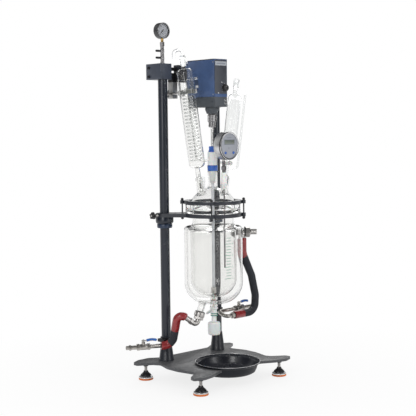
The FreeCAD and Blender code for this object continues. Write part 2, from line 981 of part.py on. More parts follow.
# Stirrer seal on the centre neck: tapered body, blue clamp ring and blue cap.
def stirrer_seal():
    shaft = "shaft_radius + shaft_clearance"
    taper = "seal_taper"
    body = turned(
        "SealBody",
        (shaft, "0"),
        ("centre_bore_low - joint_clearance", "0"),
        ("centre_bore_top - joint_clearance", taper),
        ("centre_bore_top - joint_clearance", taper + " + 2 + seal_ring_height"),
        ("seal_radius", taper + " + 2 + seal_ring_height"),
        ("seal_radius", taper + " + 2 + seal_ring_height + seal_height"),
        (shaft, taper + " + 2 + seal_ring_height + seal_height"),
        z=CENTRE_NECK_TOP + " - seal_taper",
    )
    node(body, "seal_body")
    ring = turned(
        "SealRing",
        ("centre_bore_top", "0.3"),
        ("centre_neck_outer + 1", "0.3"),
        ("seal_radius + 1", "2 + seal_ring_height - 0.2"),
        ("centre_bore_top", "2 + seal_ring_height - 0.2"),
        z=CENTRE_NECK_TOP,
    )
    cap = turned(
        "SealCap",
        (shaft, "0"),
        ("seal_cap_radius + 2", "0"),
        ("seal_cap_radius + 2", "6"),
        ("seal_cap_radius", "7"),
        ("seal_cap_radius", "seal_cap_height - 2"),
        ("seal_cap_radius - 2", "seal_cap_height"),
        (shaft, "seal_cap_height"),
        z=SEAL_TOP,
    )
    node(group("SealRings", ring, cap), "seal_rings")


stirrer_seal()


# Motor, its panel, speed knob and bracket, the chuck, the shaft and the impeller.
def drive():
    width = "motor_width"
    housing = box(
        "MotorHousing",
        width,
        "motor_depth",
        "motor_height",
        "-motor_width/2",
        "-motor_front",
        MOTOR_BOTTOM + " + motor_base_height",
    )
    node(housing, "motor_housing")
    gearbox = box(
        "GearboxBlock",
        width,
        "motor_depth",
        "motor_base_height",
        "-motor_width/2",
        "-motor_front",
        MOTOR_BOTTOM,
    )
    nose = turned(
        "Nose",
        ("0", "0"),
        ("nose_radius - 6", "0"),
        ("nose_radius", "nose_height - 8"),
        ("nose_radius", "nose_height + 1"),
        ("0", "nose_height + 1"),
        z="nose_bottom",
    )
    bore = cylinder(
        "SpindleBore", "spindle_radius + shaft_clearance", "nose_height", "0", "0", "nose_bottom - 1"
    )
    node(cut("Gearbox", fuse("GearboxWithNose", gearbox, nose), bore), "motor_gearbox")
    panel = box(
        "PanelBlank",
        "motor_width - 6",
        "panel_thickness",
        "motor_height + motor_base_height - 8",
        "-motor_width/2 + 3",
        "-motor_front - panel_thickness",
        MOTOR_BOTTOM + " + 4",
    )
    hole = cylinder(
        "KnobHole",
        "3 + shaft_clearance",
        "panel_thickness + 2",
        "speed_knob_across",
        "-motor_front + 1",
        "speed_knob_level",
        X_AXIS,
        90,
    )
    node(cut("MotorPanel", panel, hole), "motor_panel")
    knob = turned(
        "SpeedKnob",
        ("0", "0.2"),
        ("3", "0.2"),
        ("3", "panel_thickness + 0.3"),
        ("speed_knob_radius", "panel_thickness + 0.3"),
        ("speed_knob_radius - 1.5", "panel_thickness + speed_knob_depth"),
        ("0", "panel_thickness + speed_knob_depth"),
        x="speed_knob_across",
        y="-motor_front",
        z="speed_knob_level",
        axis=X_AXIS,
        angle=90,
    )
    node(knob, "speed_knob")
    back = "motor_depth - motor_front"
    plate = box(
        "BracketPlate",
        "2*bracket_half_width",
        "10",
        "motor_height - 40",
        "-bracket_half_width",
        back,
        "block_bottom - 40",
    )
    neck = box(
        "BracketNeck",
        "bracket_half_width",
        "rod_rear - 12 - (motor_depth - motor_front)",
        "block_height - 10",
        "-bracket_half_width/2",
        back,
        "block_bottom",
    )
    block = box(
        "BracketBlock",
        "2*bracket_half_width",
        "28",
        "rod_spacing + 32",
        "-bracket_half_width",
        "rod_rear - 16",
        "lower_rod_level - 16",
    )
    bores = []
    for step in ("0", "rod_spacing"):
        bores.append(
            cylinder(
                "BracketBore",
                "rod_radius + column_clearance",
                "2*bracket_half_width + 2",
                "-bracket_half_width - 1",
                "rod_rear",
                f"lower_rod_level + {step}",
                Y_AXIS,
                90,
            )
        )
    node(cut("MotorBracket", fuse("BracketBlank", plate, neck, block), *bores), "motor_bracket")
    chuck = turned(
        "ChuckBlank",
        ("shaft_radius + 0.02", "-chuck_height - chuck_collar_height"),
        ("chuck_collar_radius", "-chuck_height - chuck_collar_height"),
        ("chuck_collar_radius", "-chuck_height"),
        ("chuck_radius", "-chuck_height + 3"),
        ("chuck_radius", "-3"),
        ("chuck_radius - 3", "0"),
        ("spindle_radius", "0"),
        ("spindle_radius", "nose_height - 6"),
        ("shaft_radius + 0.02", "nose_height - 6"),
        z=CHUCK_TOP,
    )
    node(chuck, "chuck")
    shaft = cylinder(
        "StirrerShaft",
        "shaft_radius",
        "nose_bottom + nose_height - 8 - shaft_bottom",
        "0",
        "0",
        "shaft_bottom",
    )
    node(shaft, "stirrer_shaft")
    hub = Part.makeCylinder(val("impeller_hub_radius"), val("impeller_hub_height"))
    span = val("impeller_span")
    high = val("impeller_blade_height")
    thick = val("impeller_blade_thickness")
    for number in range(2):
        blade = Part.makeBox(span - 7, thick, high, FreeCAD.Vector(7, -thick / 2, 0))
        clip = Part.makeCone(span * 0.45, span, high * 0.75).fuse(
            Part.makeCylinder(span, high, FreeCAD.Vector(0, 0, high * 0.75))
        )
        blade = blade.common(clip)
        hub = hub.fuse(moved(blade, 0, 0, 0, Z_AXIS, val("impeller_turn") + 180.0 * number))
    depth = val("impeller_hub_height") - 5
    hole = Part.makeCylinder(val("shaft_radius + 0.02"), depth, FreeCAD.Vector(0, 0, 5))
    item = solid("Impeller", hub.cut(hole).removeSplitter())
    node(place(item, "0", "0", "shaft_bottom - 5"), "impeller")


drive()


# Dial thermometer on the front neck: stem and gland, screw adapter, case, face and two buttons.
def thermometer():
    front = "-neck_pitch"
    neck_top = DATUM + " + screw_neck_length"
    adapter = turned(
        "ThermometerAdapter",
        ("probe_radius + shaft_clearance", "-screw_neck_length + 2"),
        ("joint_narrow - joint_clearance", "-screw_neck_length + 2"),
        ("joint_wide - joint_clearance - 0.4", "0"),
        ("joint_wide - joint_clearance - 0.4", "0.3"),
        ("adapter_radius + 2", "0.3"),
        ("adapter_radius + 2", "14"),
        ("adapter_radius", "16"),
        ("adapter_radius", "adapter_height"),
        ("probe_radius + shaft_clearance", "adapter_height"),
        y=front,
        z=neck_top,
    )
    node(adapter, "thermometer_adapter")
    head_level = neck_top + " + adapter_height + gland_height + head_radius"
    stem = turned(
        "ThermometerStem",
        ("0", "probe_bottom"),
        ("probe_radius", "probe_bottom"),
        ("probe_radius", neck_top + " + adapter_height + 0.2"),
        ("gland_radius - 3", neck_top + " + adapter_height + 0.2"),
        ("gland_radius - 3", neck_top + " + adapter_height + 10"),
        ("gland_radius", neck_top + " + adapter_height + 10"),
        ("gland_radius", neck_top + " + adapter_height + 24"),
        ("gland_radius - 4", neck_top + " + adapter_height + 26"),
        ("gland_radius - 4", neck_top + " + adapter_height + gland_height - 4"),
        ("0", neck_top + " + adapter_height + gland_height - 4"),
        y=front,
    )
    node(stem, "thermometer_stem")
    back = f"{front} + head_back"
    case = turned(
        "CaseCup",
        ("0", "0"),
        ("head_radius - 3", "0"),
        ("head_radius", "3"),
        ("head_radius", "head_depth"),
        ("head_radius - 6", "head_depth"),
        ("head_radius - 6", "head_depth - 1"),
        ("head_radius - head_wall", "head_depth - 2"),
        ("head_radius - head_wall", "3"),
        ("0", "3"),
        axis=X_AXIS,
        angle=90,
        y="head_back",
    )
    boss = cylinder("CaseBoss", "gland_radius - 4", "8", "0", "0", "-head_radius - 4")
    case_item = fuse("CaseWithBoss", case, boss)
    turn = val("head_turn")
    node(place(case_item, "0", front, head_level, Z_AXIS, turn), "thermometer_case")
    face = turned(
        "FacePlate",
        ("0", "head_depth - 2 - face_depth"),
        ("head_radius - head_wall - 0.2", "head_depth - 2 - face_depth"),
        ("head_radius - head_wall - 0.2", "head_depth - 2.2"),
        ("0", "head_depth - 2.2"),
        axis=X_AXIS,
        angle=90,
        y="head_back",
    )
    holes = []
    buttons = []
    for side in (-1, 1):
        holes.append(
            cylinder(
                "ButtonHole",
                "button_radius + 0.15",
                "head_depth + 2",
                f"{side}*button_across",
                "head_back - head_depth + 1",
                "-button_drop",
                X_AXIS,
                -90,
            )
        )
        button = turned(
            "ButtonCap",
            ("0", "head_depth - 2 - face_depth"),
            ("button_radius", "head_depth - 2 - face_depth"),
            ("button_radius", "head_depth - 0.6"),
            ("button_radius - 1", "head_depth + 0.2"),
            ("0", "head_depth + 0.2"),
            axis=X_AXIS,
            angle=90,
            x=f"{side}*button_across",
            y="head_back",
            z="-button_drop",
        )
        buttons.append(button)
    face_item = cut("FaceDrilled", face, *holes)
    node(place(face_item, "0", front, head_level, Z_AXIS, turn), "thermometer_face")
    for button, name in zip(buttons, ("left", "right")):
        item = group(name.title() + "Button", button)
        node(place(item, "0", front, head_level, Z_AXIS, turn), f"thermometer_button_{name}")


thermometer()


# Coil condenser on the left neck: glass body, coil and the gas outlet bend.
def male_joint(length):
    """Ground cone that drops into a lid neck, with the bead that rests on the neck."""
    clear = val("joint_clearance")
    narrow = val("joint_narrow") - clear
    wide = val("joint_wide") - clear
    return [
        (0.0, 2.0),
        (narrow, 2.0),
        (wide, length),
        (wide, length + 0.2),
        (val("side_neck_outer") - 1, length + 0.2),
        (val("side_neck_outer") - 1, length + 4.0),
    ]


def condenser():
    neck = val("side_neck_length")
    start = val("condenser_start")
    length = val("condenser_length")
    radius = val("condenser_radius")
    wall = val("condenser_wall")
    joint = val("joint_tube")
    top = start + length
    throat = val("condenser_neck_radius")
    end = top + val("condenser_neck_length")
    outer = revolved(
        male_joint(neck)
        + [
            (joint, neck + 8.0),
            (joint, start - 6),
            (radius * 0.8, start - 1, "arc"),
            (radius, start + 12),
            (radius, top - 12),
            (radius * 0.85, top - 2, "arc"),
            (throat, top + 3),
            (throat, end),
            (0.0, end),
        ]
    )
    hollow = revolved(
        [
            (0.0, 1.0),
            (joint - wall, 1.0),
            (joint - wall, start - 4),
            (radius - wall, start + 13),
            (radius - wall, top - 13),
            (throat - wall, top + 1),
            (throat - wall, end + 1),
            (0.0, end + 1),
        ]
    )
    barb = val("barb_radius")
    reach = val("barb_length")
    shape = outer
    levels = (top - 40, top - 71)
    low = start + 14
    for level in levels + (low,):
        shape = shape.fuse(Part.makeCylinder(barb, reach + radius - 4, FreeCAD.Vector(4, 0, level), X_AXIS))
    shape = shape.cut(hollow)
    for level in levels + (low,):
        shape = shape.cut(Part.makeCylinder(barb - 1.6, reach + radius, FreeCAD.Vector(4, 0, level), X_AXIS))
    item = solid("CondenserGlass", shape)
    node(place(item, "-neck_pitch", "0", DATUM, Y_AXIS, -val("neck_lean")), "condenser_glass")
    pitch = val("coil_pitch")
    turns = val("coil_turns")
    ring = val("coil_radius")
    helix = Part.makeHelix(pitch, pitch * turns, ring)
    section = Part.Wire(Part.makeCircle(val("coil_tube"), FreeCAD.Vector(ring, 0, 0), Y_AXIS))
    coil = moved(Part.Wire(helix).makePipeShell([section], True, True), 0, 0, val("coil_start"))
    for level in (val("coil_start"), val("coil_start") + pitch * turns):
        stub = Part.makeCylinder(
            val("coil_tube") * 0.9, radius - wall - ring - 0.3, FreeCAD.Vector(ring, 0, level), X_AXIS
        )
        coil = coil.fuse(stub)
    item = solid("CondenserCoil", coil)
    node(place(item, "-neck_pitch", "0", DATUM, Y_AXIS, -val("neck_lean")), "condenser_coil")
    bend = val("adapter_tube")
    cap_profile = [
        (0.0, end + 0.2),
        (throat, end + 0.2),
        (throat, end + 5.0),
        (bend, end + 9.0),
        (0.0, end + 9.0),
    ]
    plug = revolved(
        [
            (0.0, end - 30.0),
            (throat - wall - 1.4, end - 30.0),
            (throat - wall - 0.3, end + 1.0),
            (0.0, end + 1.0),
        ]
    )
    arm = tube(
        [
            (0.0, 0.0, end + 4.0),
            (0.0, 0.0, end + 37.0),
            (-44.0, 0.0, end + 28.0),
            (-44.0, 0.0, end + 4.0),
        ],
        [17.0, 16.0],
        bend,
    )
    shape = revolved(cap_profile).fuse([plug, arm]).removeSplitter()
    item = solid("GasOutletBend", shape)
    node(place(item, "-neck_pitch", "0", DATUM, Y_AXIS, -val("neck_lean")), "gas_outlet_bend")


condenser()


# Pressure equalising dropping funnel on the right neck, with its stopcock key and stopper.
def funnel():
    neck = val("side_neck_length")
    start = val("funnel_start")
    radius = val("funnel_radius")
    wall = val("funnel_wall")
    top = start + val("funnel_length")
    throat = val("funnel_neck_radius")
    end = top + 55
    stem = 7.0
    cock = val("stopcock_level")
    outer = revolved(
        male_joint(neck)
        + [
            (stem, neck + 9.0),
            (stem, start - 26),
            (radius, start + 2),
            (radius, top - 8),
            (radius * 0.8, top + 1, "arc"),
            (throat - 3, top + 7),
            (throat - 3, top + 26),
            (throat, top + 30),
            (throat, end),
            (0.0, end),
        ]
    )
    hollow = revolved(
        [
            (0.0, 1.0),
            (stem - wall, 1.0),
            (stem - wall, start - 24),
            (radius - wall, start + 3),
            (radius - wall, top - 9),
            (throat - 3 - wall, top + 5),
            (throat - 3 - wall, top + 26),
            (throat - wall - 0.4, top + 31),
            (throat - wall, end + 1),
            (0.0, end + 1),
        ]
    )
    key = val("key_radius")
    reach = val("key_reach")
    barrel = Part.makeCylinder(key + 3.2, 2 * reach - 4, FreeCAD.Vector(0, -reach + 2, cock), Y_AXIS)
    offset = val("side_tube_offset")
    turn = val("side_tube_angle")
    pipe = tube(
        [
            (throat - 5, 0.0, top + 15),
            (offset, 0.0, top + 15),
            (offset, 0.0, cock - 14),
            (stem - 3, 0.0, cock - 27),
        ],
        [12.0, 14.0],
        val("side_tube_radius"),
    )
    shape = outer.fuse([barrel, moved(pipe, 0, 0, 0, Z_AXIS, turn)])
    bore = Part.makeCylinder(key + 0.05, 2 * reach + 10, FreeCAD.Vector(0, -reach - 5, cock), Y_AXIS)
    shape = shape.cut([hollow, bore])
    item = solid("FunnelGlass", shape)
    node(place(item, "neck_pitch", "0", DATUM, Y_AXIS, val("neck_lean")), "funnel_glass")
    plug = Part.makeCylinder(key, 2 * reach + 2, FreeCAD.Vector(0, -reach - 1, cock), Y_AXIS)
    handle = Part.makeCylinder(key + 3, 7, FreeCAD.Vector(0, reach + 0.5, cock), Y_AXIS)
    wing = Part.makeBox(36, 5, 9, FreeCAD.Vector(-18, reach + 2, cock - 4.5))
    nut = Part.makeCylinder(key + 2, 5, FreeCAD.Vector(0, -reach - 4, cock), Y_AXIS)
    way = Part.makeCylinder(2, 2 * key + 2, FreeCAD.Vector(0, 0, cock - key - 1))
    shape = plug.fuse([handle, wing, nut]).cut(way).removeSplitter()
    item = solid("StopcockKey", shape)
    node(place(item, "neck_pitch", "0", DATUM, Y_AXIS, val("neck_lean")), "stopcock_key")
    stopper = revolved(
        [
            (0.0, end - 22),
            (throat - wall - 1.2, end - 22),
            (throat - wall - 0.3, end + 0.2),
            (throat, end + 0.2),
            (throat, end + 7.0),
            (throat - 2, end + 12.0),
            (0.0, end + 12.0),
        ]
    )
    item = solid("FunnelStopper", stopper)
    node(place(item, "neck_pitch", "0", DATUM, Y_AXIS, val("neck_lean")), "funnel_stopper")


funnel()


# Stopper of the spare neck at the rear of the lid.
def spare_stopper():
    length = "spare_neck_length"
    stopper = turned(
        "SpareStopper",
        ("0", "3"),
        ("joint_narrow - joint_clearance", "3"),
        ("joint_wide - joint_clearance - 0.3", length),
        ("joint_wide - joint_clearance - 0.3", length + " + 0.2"),
        ("side_neck_outer", length + " + 0.2"),
        ("side_neck_outer", length + " + 10"),
        ("side_neck_outer - 3", length + " + 16"),
        ("0", length + " + 16"),
        y="neck_pitch",
        z=DATUM,
    )
    node(stopper, "spare_neck_stopper")


spare_stopper()


# Condenser clamp: boss head under the lower cross rod, arm, claw and the screw that closes it.
def condenser_clamp():
    level = val("lower_rod_level")
    rear = val("rod_rear")
    grip = val("clamp_level")
    lean = math.radians(val("neck_lean"))
    along = (grip - val(DATUM)) / math.cos(lean)
    centre_x = -val("neck_pitch") - along * math.sin(lean)
    hub_x = -46.0
    boss = Part.makeBox(26, 30, level - grip + 36, FreeCAD.Vector(hub_x - 13, rear - 15, grip - 18))
    rod_hole = val("rod_radius + column_clearance")
    boss = boss.cut(Part.makeCylinder(rod_hole, 40, FreeCAD.Vector(hub_x - 20, rear, level), X_AXIS))
    radius = val("condenser_radius")
    towards = FreeCAD.Vector(hub_x - centre_x, rear, 0)
    span = towards.Length
    towards.normalize()
    axis = FreeCAD.Vector(centre_x, 0, grip)
    arm = Part.makeCylinder(5, span - radius - 12, axis + towards * (radius + 12), towards)
    tilt = FreeCAD.Rotation(Y_AXIS, -val("neck_lean"))
    claw = Part.makeCylinder(radius + 5, 16, FreeCAD.Vector(0, 0, -8)).cut(
        Part.makeCylinder(radius + 0.3, 20, FreeCAD.Vector(0, 0, -10))
    )
    mouth_start = FreeCAD.Vector(-radius - 10, -radius - 18, -10)
    mouth = Part.makeBox(2 * radius + 20, radius + 10, 20, mouth_start)
    heading = math.degrees(math.atan2(towards.y, towards.x)) - 90
    claw = claw.cut(mouth)
    palm = Part.makeBox(22, 14, 16, FreeCAD.Vector(-11, radius + 2, -8))
    claw = claw.fuse(palm).cut(Part.makeCylinder(radius + 0.3, 20, FreeCAD.Vector(0, 0, -10)))
    claw = moved(claw, 0, 0, 0, Z_AXIS, heading)
    claw.Placement = FreeCAD.Placement(axis, tilt).multiply(claw.Placement)
    shape = boss.fuse([arm, claw]).removeSplitter()
    node(solid("CondenserClamp", shape), "condenser_clamp")
    thumb = Part.makeCylinder(4, 16, FreeCAD.Vector(0, 0, 0.2))
    wing = Part.makeBox(30, 5, 12, FreeCAD.Vector(-15, -2.5, 6))
    shape = thumb.fuse(wing).removeSplitter()
    item = solid("ClampScrew", moved(shape, hub_x - 13, rear, grip, Y_AXIS, -90))
    node(item, "clamp_screw")


condenser_clamp()


# Drain valve on the vessel axis: valve tube, rings, plug rod and handwheel.
def drain_valve():
    low = "valve_tube_bottom"
    tube_body = turned(
        "ValveTube",
        ("plug_radius + shaft_clearance", low),
        ("valve_ring_radius", low),
        ("valve_ring_radius", low + " + 3"),
        ("valve_tube_radius", low + " + 5"),
        ("valve_tube_radius", "drain_end - 7"),
        ("valve_ring_radius + 2", "drain_end - 5"),
        ("valve_ring_radius + 2", "drain_end - 0.2"),
        ("plug_radius + shaft_clearance", "drain_end - 0.2"),
    )
    spout = cylinder("Spout", "5", "38", "0", "valve_tube_radius - 2", "drain_end - 11", X_AXIS, -120)
    upper = fuse("ValveUpper", tube_body, spout)
    collar = turned(
        "ValveCollar",
        ("plug_radius + shaft_clearance", "wheel_top + 0.3"),
        ("valve_tube_radius - 1", "wheel_top + 0.3"),
        ("valve_tube_radius - 1", low + " - 12"),
        ("valve_ring_radius", low + " - 11"),
        ("valve_ring_radius", low + " - 8"),
        ("valve_tube_radius", low + " - 7"),
        ("valve_tube_radius", low + " - 4"),
        ("valve_ring_radius", low + " - 3"),
        ("valve_ring_radius", low),
        ("plug_radius + shaft_clearance", low),
    )
    node(group("ValveBody", upper, collar), "drain_valve_body")
    rod = cylinder("PlugRod", "plug_radius", "inner_bottom - wheel_top + 2", "0", "0", "wheel_top - 10")
    tip = cylinder("PlugTip", "drain_bore - 0.5", "14", "0", "0", "inner_bottom - 20")
    node(fuse("DrainPlug", rod, tip), "drain_plug")
    wheel = turned(
        "Handwheel",
        ("0", "0"),
        ("wheel_radius - 8", "0"),
        ("wheel_radius - 2", "4"),
        ("wheel_radius", "12"),
        ("wheel_radius", "wheel_height - 5"),
        ("wheel_radius - 4", "wheel_height"),
        ("plug_radius + 0.05", "wheel_height"),
        ("plug_radius + 0.05", "wheel_height - 10.5"),
        ("0", "wheel_height - 10.5"),
        z="wheel_top - wheel_height",
    )
    node(wheel, "drain_handwheel")


drain_valve()


# Steel unions on the jacket ports: open outlet at the front right, elbow to the right hose, inlet elbow.
RIGHT_HOSE = [(158, 0, 540), (158, 0, 478), (219, 13, 382), (257, 30, 296), (263, 40, 224), (146, 40, 224)]
RIGHT_BENDS = [50, 90, 60, 34]
LEFT_HOSE = [(-135, 16, 256), (-162, 26, 277), (-150, 76.4, 142), (-190, 96, 142)]
LEFT_BENDS = [19.5, 36]


def hex_bar(radius, length, start, direction):
    turn = FreeCAD.Rotation(Z_AXIS, direction)
    bar = Part.Face(Part.makePolygon([
        FreeCAD.Vector(radius * math.cos(math.radians(60 * k)), radius * math.sin(math.radians(60 * k)), 0)
        for k in range(7)
    ])).extrude(FreeCAD.Vector(0, 0, length))
    bar.Placement = FreeCAD.Placement(start, turn)
    return bar


def unions():
    level = val("port_level")
    reach = val("port_reach")
    nut = val("nut_radius")
    pipe = val("pipe_radius")
    heading = math.radians(val("outlet_angle"))
    out = FreeCAD.Vector(math.cos(heading), math.sin(heading), 0)
    start = out * reach + FreeCAD.Vector(0, 0, level)
    front = Part.makeCylinder(nut * 0.94, 4, start + out * 0.2, out)
    tail = Part.makeCylinder(pipe + 3, 28, start + out * 20, out)
    front = front.fuse([hex_bar(nut, 18, start + out * 4, out), tail])
    front = front.cut(Part.makeCylinder(pipe - 1, 60, start - out, out))
    seat = FreeCAD.Vector(reach, 0, level)
    side = hex_bar(nut * 0.9, 16, seat + FreeCAD.Vector(0.2, 0, 0), X_AXIS)
    knee_x = RIGHT_HOSE[0][0]
    bend = tube(
        [(reach + 4, 0, level), (knee_x, 0, level), (knee_x, 0, RIGHT_HOSE[0][2] + 0.2)],
        [15.0],
        pipe + 2,
    )
    side = side.fuse(bend)
    down = inlet_direction()
    end = INLET_ROOT + down * val("inlet_reach")
    nut_low = hex_bar(nut, 32, end + down * 0.2, down)
    knee = end + down * 54
    hose_start = FreeCAD.Vector(*LEFT_HOSE[0])
    along = hose_start - knee
    gap = along.Length
    along.normalize()
    elbow = tube([tuple(end + down * 28), tuple(knee), tuple(hose_start - along * 0.2)], [12.0], pipe + 2)
    grip = hex_bar(pipe + 5, 12, hose_start - along * (gap * 0.5), along)
    inlet = nut_low.fuse([elbow, grip])
    node(solid("JacketUnions", Part.makeCompound([front, side, inlet])), "jacket_unions")


unions()


def hoses():
    hose = val("hose_radius")
    left = tube(LEFT_HOSE, LEFT_BENDS, hose)
    right = tube(RIGHT_HOSE, RIGHT_BENDS, hose)
    node(solid("LeftHose", left), "left_hose")
    node(solid("RightHose", right), "right_hose")


hoses()


# Ball valves at the hose ends, their levers, and the clips that hold them to the columns.
def ball_valve(start, direction, length, middle):
    pipe = val("pipe_radius")
    body = val("valve_body_radius")
    shape = Part.makeCylinder(pipe, length, start, direction)
    parts = [
        hex_bar(body, 12, start + direction * (middle - 26), direction),
        Part.makeCylinder(body - 1.5, 30, start + direction * (middle - 15), direction),
        hex_bar(body, 12, start + direction * (middle + 14), direction),
        Part.makeCylinder(5, body + 9, start + direction * middle, Z_AXIS),
        hex_bar(pipe + 3, 8, start + direction * (length - 20), direction),
    ]
    return shape.fuse(parts)


LEFT_WAY = FreeCAD.Vector(*LEFT_HOSE[-1]) - FreeCAD.Vector(*LEFT_HOSE[-2])
LEFT_WAY.normalize()
LEFT_START = FreeCAD.Vector(*LEFT_HOSE[-1]) + LEFT_WAY * 0.2
LEFT_VALVE = 70.0
RIGHT_TURN = 108.0
RIGHT_RETURN = FreeCAD.Vector(RIGHT_TURN, 85, 238)
RIGHT_VALVE = 108.0
RIGHT_PIPE = 174.0


def lever(at, direction, name):
    """A flat steel lever that starts over the valve stem, steps up and ends in a sleeve."""
    length = val("lever_length")
    base = Part.makeCylinder(7, 3, FreeCAD.Vector(0, 0, 0))
    strap = Part.makeBox(length, 9, 3, FreeCAD.Vector(0, -4.5, 0))
    grip = Part.makeBox(length * 0.62, 11, 7, FreeCAD.Vector(length * 0.42, -5.5, -2))
    cap = Part.makeCylinder(4.5, 6, FreeCAD.Vector(0, 0, 0))
    shape = base.fuse([strap, grip, cap]).removeSplitter()
    angle = math.degrees(math.atan2(direction.y, direction.x))
    item = solid(name, moved(shape, at.x, at.y, at.z, Z_AXIS, angle))
    return item


def valves():
    left = ball_valve(LEFT_START, LEFT_WAY, 138, LEFT_VALVE)
    hose_end = FreeCAD.Vector(*RIGHT_HOSE[-1])
    pipe = val("pipe_radius")
    turn = tube(
        [
            (hose_end.x - 0.2, hose_end.y, hose_end.z),
            (RIGHT_TURN - 8, hose_end.y, hose_end.z),
            (RIGHT_TURN - 8, RIGHT_RETURN.y, RIGHT_RETURN.z),
            (RIGHT_TURN + 40, RIGHT_RETURN.y, RIGHT_RETURN.z),
        ],
        [18.0, 18.0],
        pipe,
    )
    right_start = FreeCAD.Vector(RIGHT_TURN + 30, RIGHT_RETURN.y, RIGHT_RETURN.z)
    right = ball_valve(right_start, X_AXIS, RIGHT_PIPE, RIGHT_VALVE - 30)
    collar_start = FreeCAD.Vector(hose_end.x - 14, hose_end.y, hose_end.z)
    collar = hex_bar(val("valve_body_radius"), 12, collar_start, X_AXIS)
    right = right.fuse([turn, collar])
    node(solid("BallValves", Part.makeCompound([left, right])), "ball_valves")
    rise = val("valve_body_radius") + 9.2
    left_spot = LEFT_START + LEFT_WAY * LEFT_VALVE + Z_AXIS * rise
    right_spot = FreeCAD.Vector(RIGHT_TURN + RIGHT_VALVE, RIGHT_RETURN.y, RIGHT_RETURN.z + rise)
    node(lever(left_spot, LEFT_WAY * -1, "LeftLever"), "left_valve_lever")
    node(lever(right_spot, X_AXIS, "RightLever"), "right_valve_lever")
    half = val("column_half_span")
    rear = val("column_rear")
    grip = val("column_radius + column_clearance")
    clips = []
    left_ring = Part.makeCylinder(grip + 5, 14, FreeCAD.Vector(-half, rear, 150))
    hook = Part.makeBox(12, 30, 12, FreeCAD.Vector(-half - 42, rear - 34, 151))
    hook = hook.fuse(Part.makeBox(36, 12, 12, FreeCAD.Vector(-half - 42, rear - 10, 151)))
    left_ring = left_ring.fuse(hook).cut(tube(LEFT_HOSE, LEFT_BENDS, val("hose_radius") + 0.3))
    left_ring = left_ring.cut(Part.makeCylinder(grip, 40, FreeCAD.Vector(-half, rear, 140)))
    clips.append(left_ring)
    right_ring = Part.makeCylinder(grip + 5, 14, FreeCAD.Vector(half, rear, 231))
    arm_start = FreeCAD.Vector(half - 22, RIGHT_RETURN.y - 4, 232)
    arm = Part.makeBox(14, rear - RIGHT_RETURN.y, 12, arm_start)
    right_ring = right_ring.fuse(arm).cut(Part.makeCylinder(grip, 40, FreeCAD.Vector(half, rear, 220)))
    pipe_start = FreeCAD.Vector(half - 40, RIGHT_RETURN.y, RIGHT_RETURN.z)
    pipe_way = Part.makeCylinder(pipe + 0.2, 60, pipe_start, X_AXIS)
    clips.append(right_ring.cut(pipe_way))
    node(solid("HoseClips", Part.makeCompound(clips)), "hose_clips")


valves()


# Catch dish: a thin pressed pan whose lip rests on the plate round the seat.
def dish():
    wall = "dish_wall"
    drop = "plate_top - dish_bottom"
    pan = turned(
        "CatchDish",
        ("0", "0"),
        ("dish_base_radius", "0"),
        ("dish_base_radius + 10", "5"),
        ("dish_wall_radius", drop + " - 1"),
        ("dish_wall_radius", drop),
        ("lip_seat_radius", drop),
        ("dish_rim_radius", drop + " + dish_rim_rise - 1"),
        ("dish_rim_radius", drop + " + dish_rim_rise"),
        ("dish_rim_radius - dish_wall - 1", drop + " + dish_rim_rise"),
        ("lip_seat_radius - dish_wall", drop + " + " + wall),
        ("dish_wall_radius - dish_wall", drop + " + " + wall),
        ("dish_base_radius + 10 - dish_wall", "5 + dish_wall"),
        ("dish_base_radius - 1", wall),
        ("0", wall),
        y="-dish_front",
        z="dish_bottom",
    )
    node(pan, "catch_dish")


dish()


